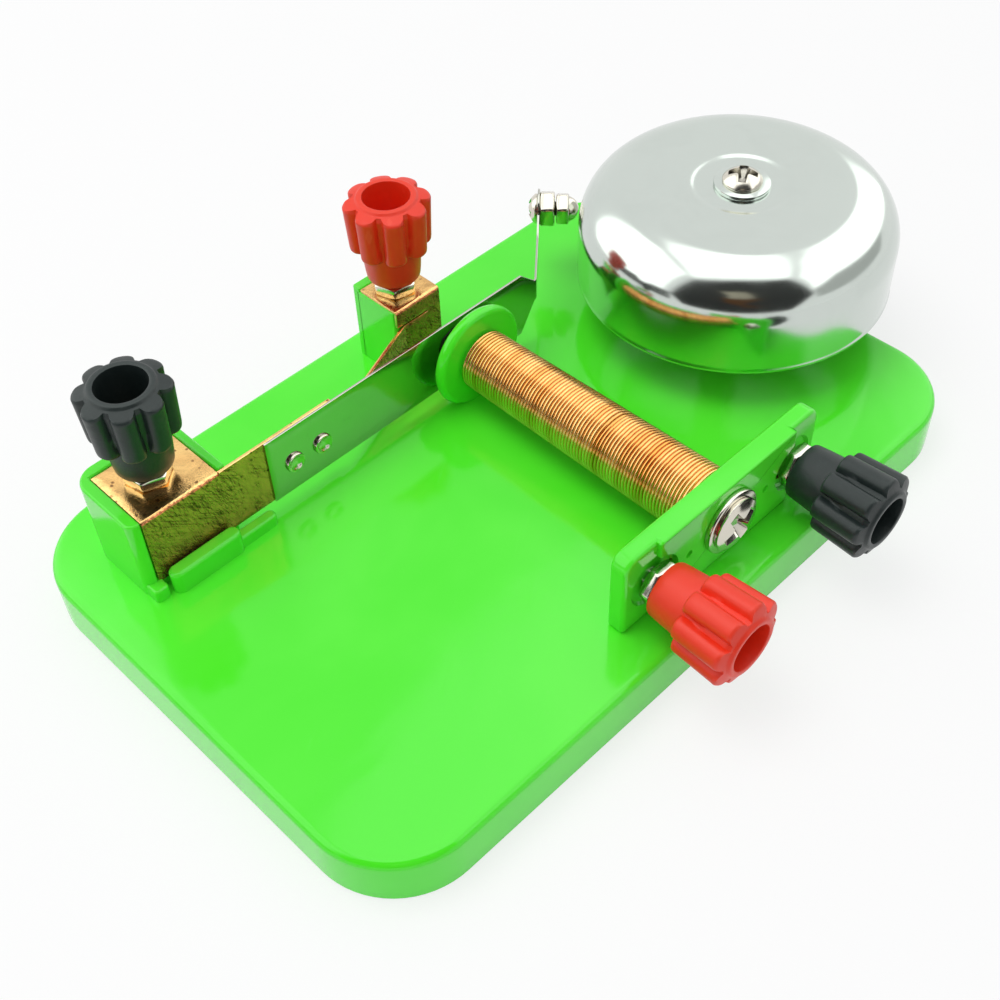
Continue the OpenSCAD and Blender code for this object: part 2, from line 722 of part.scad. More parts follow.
module armature_strip() {
    eye_z = hammer_z;
    color(steel) difference() {
        union() {
            translate([0, strip_back_y, 0]) rotate([90, 0, 0]) linear_extrude(steel_t) polygon([
                [strip_x, strip_low_z], [strip_end_x - strip_end_low_slope, strip_low_z],
                [strip_end_x, hammer_root_low_z], [strip_end_x, hammer_root_top_z],
                [strip_end_x - strip_end_top_slope, strip_top_z], [strip_x, strip_top_z]]);
            translate([strip_end_x, strip_back_y + bend_r, hammer_root_low_z]) rotate(-90)
                rotate_extrude(angle = hammer_angle) translate([bend_r, 0])
                    square([steel_t, hammer_root_top_z - hammer_root_low_z]);
            at_hammer() translate([0, steel_t, 0]) rotate([90, 0, 0]) linear_extrude(steel_t) union() {
                polygon([[0, hammer_root_low_z], [hammer_l, eye_z - hammer_eye_r * 0.8],
                    [hammer_l, eye_z + hammer_eye_r * 0.8], [hammer_l - 7, hammer_root_top_z + 0.6],
                    [0, hammer_root_top_z]]);
                translate([hammer_l, eye_z]) circle(hammer_eye_r);
            }
        }
        rivet_holes(strip_front_y);
        at_hammer() translate([hammer_l, 0, eye_z]) rotate([90, 0, 0])
            cylinder(h = 4, r = m3_r + 0.1, center = true);
    }
}

module armature_rivets() {
    shank = steel_t + copper_t;
    dome = 2.2;
    color(chrome) for (x = rivet_x) translate([x, strip_front_y, rivet_z]) rotate([90, 0, 0]) {
        translate([0, 0, -shank - 0.4]) cylinder(h = shank + 0.4 + eps, r = rivet_r);
        translate([0, 0, -shank - 0.4]) cylinder(h = 0.4, r = rivet_head_r);
        intersection() {
            cylinder(h = rivet_head_h, r = rivet_head_r);
            translate([0, 0, rivet_head_h - dome]) sphere(dome);
        }
    }
}

// Puts a shape's own +Z along the hammer screw, towards the gong, from the arm's near face
module at_hammer_screw() {
    at_hammer() translate([hammer_l, 0, hammer_z]) rotate([90, 0, 0]) children();
}

module hammer_screw() {
    color(steel) at_hammer_screw() translate([0, 0, -steel_t]) rotate([180, 0, 0])
        pan_screw(m3_head, m3_r, hammer_screw_l + steel_t);
}

module hammer_nut() {
    color(steel) at_hammer_screw() hex_nut(m3_nut, m3_r + thread_gap);
}

// The striker is a cap nut: a hexagon with a closed dome that meets the gong
module striker() {
    depth = hammer_screw_l - striker_seat + 0.2;
    color(chrome) at_hammer_screw() translate([0, 0, striker_seat]) difference() {
        union() {
            hex_nut(m3_nut, 0.2);
            translate([0, 0, m3_nut[1] - 0.6]) intersection() {
                sphere(striker_dome_r);
                cylinder(h = striker_dome_r, r = striker_dome_r);
            }
        }
        translate([0, 0, -1]) cylinder(h = depth + 1, r = m3_r + thread_gap);
    }
}

// ---------------------------------------------------------------- gong

// Half the outline of a bell with a flat crown, a round shoulder and an upright side
module gong_outline(r, h, shoulder) {
    square([r - shoulder, h]);
    square([r, h - shoulder]);
    translate([r - shoulder, h - shoulder]) quarter(shoulder);
}

module gong() {
    lip = 0.35;
    color(chrome) translate([gong_x, gong_y, gong_rim_z]) rotate_extrude() difference() {
        union() {
            gong_outline(gong_r, gong_h, gong_shoulder);
            translate([gong_r - 1, 0]) square([1 + lip, 0.9]);
        }
        translate([0, -1]) gong_outline(gong_r - gong_t, gong_h - gong_t + 1, gong_shoulder - gong_t);
        translate([-1, -1]) square([1 + m4_r + 0.25, gong_h + 2]);
        translate([0, gong_h - dish_depth]) square([dish_r, 1]);
    }
}

module gong_pillar() {
    length = gong_top_z - gong_t - base_h;
    color(steel) translate([gong_x, gong_y, base_h]) difference() {
        cylinder(h = length, r = pillar_r);
        translate([0, 0, -1]) cylinder(h = 11, r = m4_r + thread_gap);
        translate([0, 0, length - 12]) cylinder(h = 13, r = m4_r + thread_gap);
    }
}

module pillar_screw() {
    color(steel) translate([gong_x, gong_y, roof_z]) rotate([180, 0, 0])
        pan_screw(m4_head, m4_r, pillar_screw_l);
}

module gong_washer() {
    color(chrome) translate([gong_x, gong_y, gong_top_z - dish_depth])
        washer(gong_washer_r, m4_r + 0.2, gong_washer_t);
}

module gong_screw() {
    color(steel) translate([gong_x, gong_y, gong_top_z - dish_depth + gong_washer_t]) rotate(33)
        pan_screw(m4_head, m4_r, pillar_screw_l);
}

// ---------------------------------------------------------------- the assembly

base();
coil_former();
coil_winding();
coil_leads();
core();
core_screw();
core_washer();
contact_bracket();
armature_bracket();
gong_pillar();
pillar_screw();
gong();
gong_washer();
gong_screw();
upright(left_post) post_stud(sheet_top_z - roof_z, upright_gap);  // left_post_stud
upright(left_post) post_nut(12);  // left_post_nut
upright(rear_post) post_stud(sheet_top_z - roof_z, upright_gap);  // rear_post_stud
upright(rear_post) post_nut(18);  // rear_post_nut
facing_front(coil_red_post) post_stud(plate_back_y - coil_nut_y, coil_gap);  // coil_red_post_stud
facing_front(coil_red_post) post_nut(8);  // coil_red_post_nut
facing_front(coil_black_post) post_stud(plate_back_y - coil_nut_y, coil_gap);  // coil_black_post_stud
facing_front(coil_black_post) post_nut(25);  // coil_black_post_nut
armature_arm();
armature_strip();
armature_rivets();
hammer_screw();
hammer_nut();
striker();
upright(left_post) knob(upright_gap, 10, knob_black);  // left_knob
upright(left_post) knob_insert(upright_gap);  // left_knob_insert
upright(rear_post) knob(upright_gap, 13, knob_red);  // rear_knob
upright(rear_post) knob_insert(upright_gap);  // rear_knob_insert
facing_front(coil_red_post) knob(coil_gap, -16, knob_red);  // coil_red_knob
facing_front(coil_red_post) knob_insert(coil_gap);  // coil_red_knob_insert
facing_front(coil_black_post) knob(coil_gap, -8, knob_black);  // coil_black_knob
facing_front(coil_black_post) knob_insert(coil_gap);  // coil_black_knob_insert
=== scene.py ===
"""Looks of the electric bell demonstrator, built round its packed CAD frame.

The file is laid out as an add-on and run as a script: each operator makes one group of pieces.
Shapes are drawn in millimetres, in the frame's own axes, and scaled to metres as they are made.
"""
import random
from math import cos, exp, pi, radians, sin, sqrt, tan, tau
from typing import Callable, NamedTuple

import bmesh
import bpy
from bpy.props import FloatProperty, FloatVectorProperty, IntProperty, PointerProperty
from bpy.types import Operator, Panel, PropertyGroup
from mathutils import Matrix, Vector


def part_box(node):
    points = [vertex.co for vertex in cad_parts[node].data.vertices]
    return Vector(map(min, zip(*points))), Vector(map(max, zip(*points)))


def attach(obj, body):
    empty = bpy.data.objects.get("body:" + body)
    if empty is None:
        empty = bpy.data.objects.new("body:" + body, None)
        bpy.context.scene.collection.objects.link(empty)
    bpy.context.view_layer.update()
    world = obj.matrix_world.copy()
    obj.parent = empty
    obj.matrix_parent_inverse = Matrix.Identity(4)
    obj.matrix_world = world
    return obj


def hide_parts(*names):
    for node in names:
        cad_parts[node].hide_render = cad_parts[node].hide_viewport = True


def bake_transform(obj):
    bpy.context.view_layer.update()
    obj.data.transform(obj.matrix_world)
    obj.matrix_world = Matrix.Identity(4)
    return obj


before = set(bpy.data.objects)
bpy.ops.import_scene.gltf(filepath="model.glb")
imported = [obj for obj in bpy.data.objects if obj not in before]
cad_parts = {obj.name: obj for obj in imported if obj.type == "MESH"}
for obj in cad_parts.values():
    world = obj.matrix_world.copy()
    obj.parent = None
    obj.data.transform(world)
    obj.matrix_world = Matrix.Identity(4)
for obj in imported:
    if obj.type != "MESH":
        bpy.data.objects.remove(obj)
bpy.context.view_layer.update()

bl_info = {
    "name": "Electric bell demonstrator",
    "version": (1, 0, 0),
    "blender": (4, 5, 0),
    "location": "3D View > Sidebar > Bell",
    "description": "Makes the bell's pieces, their finishes and the studio round them",
    "category": "Add Mesh",
}

MM = 0.001
MERGE = 0.0000012  # points of a piece that are nearer than this become one, in metres
ON_AXIS = 0.0005  # least radius of a turned shape, in millimetres
BASE_LOW, BASE_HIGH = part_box("base")
GONG_LOW, GONG_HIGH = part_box("gong")

# places that more than one operator uses, in millimetres
TUBE_START = -34.9  # Y of the end plate's rear face, where the former's tube begins
TUBE_WIDE = 5.6  # radius of the tube there
SCREW_SEAT = -40.1  # Y under the head of the core's screw
LEAD_HOLE = 9.4  # from the magnet's axis to the hole of a lead
SHEET_TALL = 13.2  # height of the copper and of the steel strip before the stand
GONG_AT = (57.8, -0.6)  # axis of the gong


def length(name, description, value):
    """A length in metres, given here in millimetres."""
    return FloatProperty(name=name, description=description, default=value * MM, min=0.0, max=1.0,
                         unit="LENGTH", subtype="DISTANCE", precision=5)


def angle(name, description, degrees):
    return FloatProperty(name=name, description=description, default=radians(degrees),
                         unit="ROTATION", subtype="ANGLE")


def number(name, description, value, low=0, high=5, kind="NONE"):
    return FloatProperty(name=name, description=description, default=value, min=low, max=high, subtype=kind)


def count(name, description, value, low, high):
    return IntProperty(name=name, description=description, default=value, min=low, max=high)


def colour(name, description, value):
    return FloatVectorProperty(name=name, description=description, default=value, size=3,
                               subtype="COLOR", min=0.0, max=1.0)


class TraySizes(PropertyGroup):
    """The moulded tray and its two stands."""
    width: length("Length", "Along X", (BASE_HIGH.x - BASE_LOW.x) / MM)
    depth: length("Width", "Along Y", (BASE_HIGH.y - BASE_LOW.y) / MM)
    height: length("Height", "From the bench to the top face", 9.4)
    corner: length("Corner radius", "Radius of the corners in plan", 14.9)
    edge: length("Edge radius", "Radius of the rounded top edge", 1.3)
    skirt: length("Skirt", "Thickness of the skirt", 2.4)
    top: length("Top", "Thickness of the top", 2.6)
    seat: length("Seat height", "Top of both stands, below the copper", 24.6)
    soft: length("Soft edge", "Radius of the stands' edges", 0.45)


class MagnetSizes(PropertyGroup):
    """The coil former, its winding and its core."""
    axis_x: length("Axis X", "Place of the magnet's axis along the base", 8.7)
    axis_z: length("Axis height", "Height of the magnet's axis", 18.0)
    plate_width: length("Plate width", "Width of the end plate", 46.8)
    plate_top: length("Plate top", "Height of the end plate's top edge", 25.7)
    flange: length("Flange diameter", "Diameter of the round flange", 19.2)
    wire: length("Wire", "Diameter of the enamelled wire", 0.66)
    turns: count("Turns", "Turns of wire side by side", 75, 20, 90)
    pitch: length("Post pitch", "Distance between the posts on the end plate", 33.8)


class ArmatureSizes(PropertyGroup):
    """The copper sheets, the steel strip and the hammer."""
    copper: length("Copper", "Thickness of the copper sheet", 0.6)
    steel: length("Steel", "Thickness of the steel strip", 0.4)
    hammer: length("Hammer arm", "From the bend to the middle of the eye", 19.4)
    bend: angle("Bend", "Angle of the hammer arm", 42)
    eye: length("Eye", "Radius of the round end", 3.7)


class GongSizes(PropertyGroup):
    """The gong and what holds it."""
    radius: length("Radius", "Radius of the gong's side", 28.7)
    rim: length("Rim height", "Height of the rim", GONG_LOW.z / MM)
    crown: length("Crown height", "Height of the crown", GONG_HIGH.z / MM)
    shoulder: length("Shoulder", "Radius of the shoulder", 9.2)
    wall: length("Wall", "Thickness of the wall", 1.0)
    dish: length("Dish", "Radius of the shallow dish round the screw", 8.8)


class PostSizes(PropertyGroup):
    """The binding posts and their lobed caps."""
    tall: length("Cap length", "Length of a cap", 16.2)
    across: length("Cap diameter", "Across the lobes at the mouth", 15.2)
    lobes: count("Lobes", "Lobes round a cap", 8, 6, 9)
    mouth: length("Mouth", "Diameter of the open mouth", 8.2)
    nut: length("Nut", "Width of the nuts across their flats", 7.0)
    nut_tall: length("Nut height", "Height of the nuts", 2.2)
    stud: length("Stud", "Diameter of the threaded studs", 4.0)


class Tints(PropertyGroup):
    """Colours of the finishes."""
    green: colour("Green", "Moulded tray and former", (0.105, 0.95, 0.038))
    green_deep: colour("Deep green", "Thicker places of the moulding", (0.080, 0.91, 0.022))
    copper: colour("Copper", "Clean copper sheet", (0.96, 0.66, 0.26))
    tarnish: colour("Tarnish", "Stains on the copper", (0.36, 0.20, 0.075))
    wire: colour("Wire", "Enamelled wire", (0.94, 0.57, 0.22))
    wire_deep: colour("Deep wire", "Darker enamel", (0.76, 0.34, 0.08))
    steel: colour("Steel", "Bright strip", (0.50, 0.50, 0.45))
    nickel: colour("Nickel", "Plated screws and nuts", (0.68, 0.645, 0.56))
    chrome: colour("Chrome", "Plated gong", (0.60, 0.65, 0.61))
    iron: colour("Iron", "Core", (0.30, 0.30, 0.31))
    brass: colour("Brass", "Inserts in the caps", (0.78, 0.60, 0.28))
    black: colour("Black", "Black caps", (0.013, 0.021, 0.020))
    red: colour("Red", "Red caps", (0.87, 0.034, 0.008))
    floor: colour("Floor", "Floor of the studio", (0.96, 0.96, 0.96))


class StageSettings(PropertyGroup):
    """Camera and light."""
    azimuth: angle("Azimuth", "Direction of the camera", -43.28)
    elevation: angle("Elevation", "Height of the camera", 47.61)
    roll: angle("Roll", "Tilt of the camera", -2.34)
    distance: length("Distance", "From the camera to its target", 245.1)
    lens: number("Lens", "Focal length on a 36 mm sensor", 49.955, 10, 200)
    key: number("Key", "Power of the key lamp in watts", 2.7, 0, 50)
    sky: number("Sky", "Soft light from above", 0.80)
    fill: number("Fill", "Soft light from the sides", 0.16)
    window: number("Windows", "Brightness of the windows that show in metal", 2.0)
    floor_white: number("Floor white", "Share of pure white that the floor shows near the bell", 0.74, 0, 1,
                        "FACTOR")


def mm(group, *names):
    """Lengths of a group, in millimetres."""
    found = [getattr(group, name) / MM for name in names]
    return found[0] if len(found) == 1 else found


# ---------------------------------------------------------------- finishes

class Wire:
    """A value in a material. Arithmetic on it adds Math nodes."""

    def __init__(self, finish, socket):
        self.finish, self.socket = finish, socket

    def math(self, operation, *values):
        return self.finish.node("ShaderNodeMath", dict(enumerate(values)), operation=operation)

    def __add__(self, other):
        return self.math("ADD", self, other)

    def __sub__(self, other):
        return self.math("SUBTRACT", self, other)

    def __rsub__(self, other):
        return self.math("SUBTRACT", other, self)

    def __mul__(self, other):
        return self.math("MULTIPLY", self, other)

    __radd__, __rmul__ = __add__, __mul__


class Finish:
    """A material that is being made."""

    def __init__(self, name):
        self.material = bpy.data.materials.new(name)
        self.material.use_nodes = True
        self.tree = self.material.node_tree
        self.tree.nodes.clear()

    @classmethod
    def of(cls, owner):
        """The same for nodes that something else owns, such as the world."""
        made = cls.__new__(cls)
        made.material, made.tree = owner, owner.node_tree
        made.tree.nodes.clear()
        return made

    def node(self, kind, sockets=None, out=0, **settings):
        """Adds a node: its settings first, then a value or link for each socket. Returns one output."""
        made = self.tree.nodes.new(kind)
        for key, value in settings.items():
            setattr(made, key, value)
        for key, value in (sockets or {}).items():
            socket = made.inputs[key]
            if isinstance(value, Wire):
                self.tree.links.new(value.socket, socket)
            elif socket.type == "RGBA":
                socket.default_value = (*value[:3], 1.0)
            else:
                socket.default_value = value
        return Wire(self, made.outputs[out]) if made.outputs else None

    def place(self, stretch=(1, 1, 1), turn=(0, 0, 0)):
        """Object coordinates in a turned frame, stretched along its axes."""
        turned = self.node("ShaderNodeMapping", {
            "Vector": self.node("ShaderNodeTexCoord", out="Object"),
            "Rotation": [radians(a) for a in turn]}, vector_type="TEXTURE")
        return self.node("ShaderNodeVectorMath", {0: turned, 1: stretch}, operation="MULTIPLY")

    def cloud(self, scale, detail=3.0, rough=0.5, twist=0.0, at=None):
        return self.node("ShaderNodeTexNoise", {
            "Vector": at or self.place(), "Scale": scale, "Detail": detail, "Roughness": rough,
            "Distortion": twist})

    def cells(self, scale):
        return self.node("ShaderNodeTexVoronoi", {"Vector": self.place(), "Scale": scale})

    def step(self, value, low, high, start=0.0, end=1.0):
        """Goes smoothly from start to end while value goes from low to high."""
        return self.node("ShaderNodeMapRange", {
            "Value": value, "From Min": low, "From Max": high, "To Min": start, "To Max": end},
            interpolation_type="SMOOTHSTEP")

    def scratches(self, scale, turn, low, high, long):
        """Fine lines along X of a turned frame."""
        lines = self.cloud(scale, 2, 0.5, 0.3, self.place((1.0 / long, 1, 1), turn))
        return self.step(lines, low, high)

    def mix(self, factor, a, b):
        return self.node("ShaderNodeMix", {0: factor, 6: a, 7: b}, 2, data_type="RGBA")

    def bump(self, height, depth):
        return self.node("ShaderNodeBump", {"Height": height, "Distance": depth, "Strength": 1.0})

    def light(self, kind, tint, strength):
        """A glowing surface or a plain background."""
        return self.node(kind, {"Color": tint, "Strength": strength})

    def show(self, surface, kind="ShaderNodeOutputMaterial"):
        self.node(kind, {"Surface": surface})
        return self.material

    def close(self, sockets):
        return self.show(self.node("ShaderNodeBsdfPrincipled", sockets))


def green_plastic(tint):
    """Glossy moulding with slight flow marks, faint waves and a few hairline scratches."""
    f = Finish("Green_plastic")
    flow = f.step(f.cloud(24, 3, 0.55, 0.6), 0.32, 0.68)
    grain = f.cloud(1500, 3, 0.6)
    hair = f.scratches(2400, (0, 0, 34), 0.70, 0.77, 60) + f.scratches(2000, (0, 0, -58), 0.71, 0.78, 60)
    tone = f.mix(flow, tint.green_deep, tint.green)
    dusty = f.mix(f.step(f.cloud(420, 4, 0.7), 0.60, 0.85, 0.0, 0.10), tone, (0.22, 0.85, 0.14))
    wave = f.cloud(120, 2, 0.4) + 0.10 * grain
    return f.close({
        "Base Color": dusty, "Roughness": 0.06 + 0.05 * grain + 0.04 * flow + 0.08 * hair, "IOR": 1.46,
        "Normal": f.bump(wave - 0.06 * hair, 0.00007)})


def copper_sheet(tint):
    """Polished sheet that is stained, pitted and scratched, with a painted shade on the faces that face the
    front.
    """
    f = Finish("Copper_sheet")
    stain = f.step(f.cloud(170, 5, 0.65, 1.2), 0.42, 0.74)
    blush = f.step(f.cloud(60, 3, 0.5, 0.8), 0.30, 0.70)
    pits = 1 - f.step(f.cells(760), 0.14, 0.30)
    rare = f.step(f.cloud(260, 3, 0.6), 0.44, 0.56)
    fan = (f.scratches(3300, (0, 62, 0), 0.49, 0.58, 12) + f.scratches(2900, (0, 38, 0), 0.50, 0.59, 13)
           + f.scratches(3600, (0, 80, 20), 0.53, 0.61, 11))
    marks = f.step(f.cloud(110, 3, 0.6, 0.6), 0.26, 0.62) * fan
    facing = f.node("ShaderNodeSeparateXYZ", {0: f.node("ShaderNodeTexCoord", out="Normal")}, 1)
    # painted shade: the faces that face -Y take a deeper, redder tone and a little less metal
    front = f.step(facing, -0.9, -0.4, 1.0, 0.0)
    marks = marks * f.step(facing, -0.9, -0.4, 1.0, 0.3)
    tone = f.mix(blush, tint.copper, (0.93, 0.54, 0.20))
    tone = f.mix(0.85 * front, tone, (0.98, 0.28, 0.13))
    tone = f.mix(0.55 * stain, tone, tint.tarnish)
    tone = f.mix(0.8 * pits * rare, tone, (0.15, 0.06, 0.025))
    tone = f.mix(0.42 * marks, tone, (0.12, 0.06, 0.015))
    relief = f.cloud(90, 2, 0.5) + 0.12 * f.cloud(900, 3, 0.6) - 0.16 * marks - 0.15 * pits * rare
    return f.close({
        "Base Color": tone, "Metallic": 1.0 - 0.09 * front, "Roughness": 0.15 + 0.08 * stain + 0.10 * marks,
        "Normal": f.bump(relief, 0.00012)})


def coil_wire(tint):
    """Enamelled wire: each turn has its own tone."""
    f = Finish("Enamelled_wire")
    tone = f.step(f.cloud(340, 3, 0.6, 0.2, f.place((0.15, 1.0, 0.15))), 0.30, 0.70)
    spot = f.step(f.cloud(700, 4, 0.7), 0.58, 0.78)
    base = f.mix(tone, tint.wire_deep, tint.wire)
    return f.close({
        "Base Color": f.mix(0.35 * spot, base, (0.45, 0.17, 0.05)), "Metallic": 1.0,
        "Roughness": 0.17 + 0.10 * tone,
        "Normal": f.bump(f.cloud(1600, 2, 0.5), 0.000012)})


def shade(tint, share):
    return [c * share for c in tint]


def metal(name, tint, dull, grain, depth, long, turn, dirt, hollow_shade=0.0):
    """Plated or bright metal with drawn lines, smudges, a little dirt and a painted shade in its hollows."""
    f = Finish(name)
    lines = f.cloud(grain, 3, 0.6, 0.1, f.place((1.0 / long, 1, 1), turn))
    smudge = f.step(f.cloud(95, 4, 0.6, 0.5), 0.42, 0.72)
    soil = f.step(f.cloud(420, 5, 0.7), 0.55, 0.80)
    tone = f.mix(0.25 * smudge, f.mix(dirt * soil, tint, shade(tint, 0.45)), shade(tint, 0.88))
    if hollow_shade:
        # painted shade: ambient occlusion darkens the hollows and the places close to other parts
        open_sky = f.node("ShaderNodeAmbientOcclusion", {"Distance": 0.0022}, "AO", samples=6,
                          only_local=True)
        tone = f.mix(f.step(open_sky, 0.35, 0.85, hollow_shade, 0.0), tone, shade(tint, 0.08))
    return f.close({
        "Base Color": tone, "Metallic": 1.0,
        "Roughness": dull + 0.35 * dull * smudge + 0.25 * dull * lines + 0.10 * soil * dirt,
        "Normal": f.bump(0.3 * lines + f.cloud(60, 2, 0.4), depth)})


def spring_steel(tint):
    return metal("Spring_steel", tint.steel, 0.07, 4200, 0.00001, 40, (0, 3, 0), 0.25)


def nickel(tint):
    # the last number is the strength of the painted shade in the hollows
    return metal("Nickel_plate", tint.nickel, 0.14, 1400, 0.00001, 4, (20, 30, 0), 0.45, 0.92)


def gong_chrome(tint):
    return metal("Gong_chrome", tint.chrome, 0.12, 300, 0.000015, 3, (0, 0, 0), 0.05)


def iron(tint):
    return metal("Core_iron", tint.iron, 0.38, 1200, 0.00003, 8, (0, 0, 90), 0.6)


def brass_insert(tint):
    return metal("Turned_brass", tint.brass, 0.22, 1800, 0.00001, 20, (0, 0, 0), 0.3)


def cap_plastic(name, tint, sheen_and_dust, dull, cast):
    """Satin moulding: a fine grain, cast unevenness, dust and a painted highlight along its edges."""
    f = Finish(name)
    grain = f.cloud(2600, 3, 0.7)
    cast_marks = f.cloud(330, 3, 0.5, 0.6)
    # painted highlight: convex edges take the pale sheen tone, and the dust shares it
    edge = f.step(f.node("ShaderNodeNewGeometry", out="Pointiness"), 0.515, 0.60)
    dust = f.step(f.cloud(520, 5, 0.75), 0.50, 0.78)
    tone = f.mix(0.55 * edge + 0.18 * dust, tint, sheen_and_dust)
    return f.close({
        "Base Color": tone, "Roughness": dull + 0.10 * grain + 0.12 * dust, "IOR": 1.42,
        "Normal": f.bump(cast * cast_marks + 0.10 * grain, 0.0001)})


def black_knob(tint):
    # the second colour is the pale tone of the painted edge highlight and of the dust
    return cap_plastic("Black_cap_plastic", tint.black, (0.055, 0.074, 0.070), 0.34, 0.9)


def red_knob(tint):
    # the second colour is the pale tone of the painted edge highlight and of the dust
    return cap_plastic("Red_cap_plastic", tint.red, (0.93, 0.075, 0.03), 0.32, 0.6)


FINISHES = {f.__name__: f for f in (green_plastic, copper_sheet, coil_wire, spring_steel, nickel,
                                    gong_chrome, iron, brass_insert, black_knob, red_knob)}
made_finishes = {}


def finish(slot):
    """The material of one of the record's slots."""
    if slot not in made_finishes:
        made_finishes[slot] = FINISHES[slot](bpy.context.scene.bell_tints)
    return made_finishes[slot]


def refinish(node, slot):
    """Gives a CAD node that stays in view the material of its slot."""
    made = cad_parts[node]
    made.data.materials.clear()
    made.data.materials.append(finish(slot))


# ---------------------------------------------------------------- shapes

def arc(x, y, r, start, end, steps):
    """Points of an arc, with its angles in degrees."""
    turns = [radians(start + (end - start) * i / steps) for i in range(steps + 1)]
    return [(x + r * cos(a), y + r * sin(a)) for a in turns]


def rounded(x0, y0, x1, y1, r, steps):
    """Outline of a rectangle with round corners."""
    return (arc(x1 - r, y1 - r, r, 0, 90, steps) + arc(x0 + r, y1 - r, r, 90, 180, steps)
            + arc(x0 + r, y0 + r, r, 180, 270, steps) + arc(x1 - r, y0 + r, r, 270, 360, steps))


def smooth_line(points, cut, steps):
    """A line through points whose corners are rounded over cut on each side."""
    points = [Vector(p) for p in points]
    line = [points[0]]
    for before, corner, after in zip(points, points[1:], points[2:]):
        trim = min(cut, (corner - before).length * 0.45, (after - corner).length * 0.45)
        a = corner + (before - corner).normalized() * trim
        b = corner + (after - corner).normalized() * trim
        for i in range(steps + 1):
            t = i / steps
            line.append(a * (1 - t) ** 2 + corner * 2 * t * (1 - t) + b * t * t)
    return line + [points[-1]]


def lerp(a, b, t):
    return a + (b - a) * t


def polar(radius, a, height):
    return (radius * cos(a), radius * sin(a), height)


def link(name, data):
    """Puts a new object into the scene."""
    made = bpy.data.objects.new(name, data)
    bpy.context.scene.collection.objects.link(made)
    return made


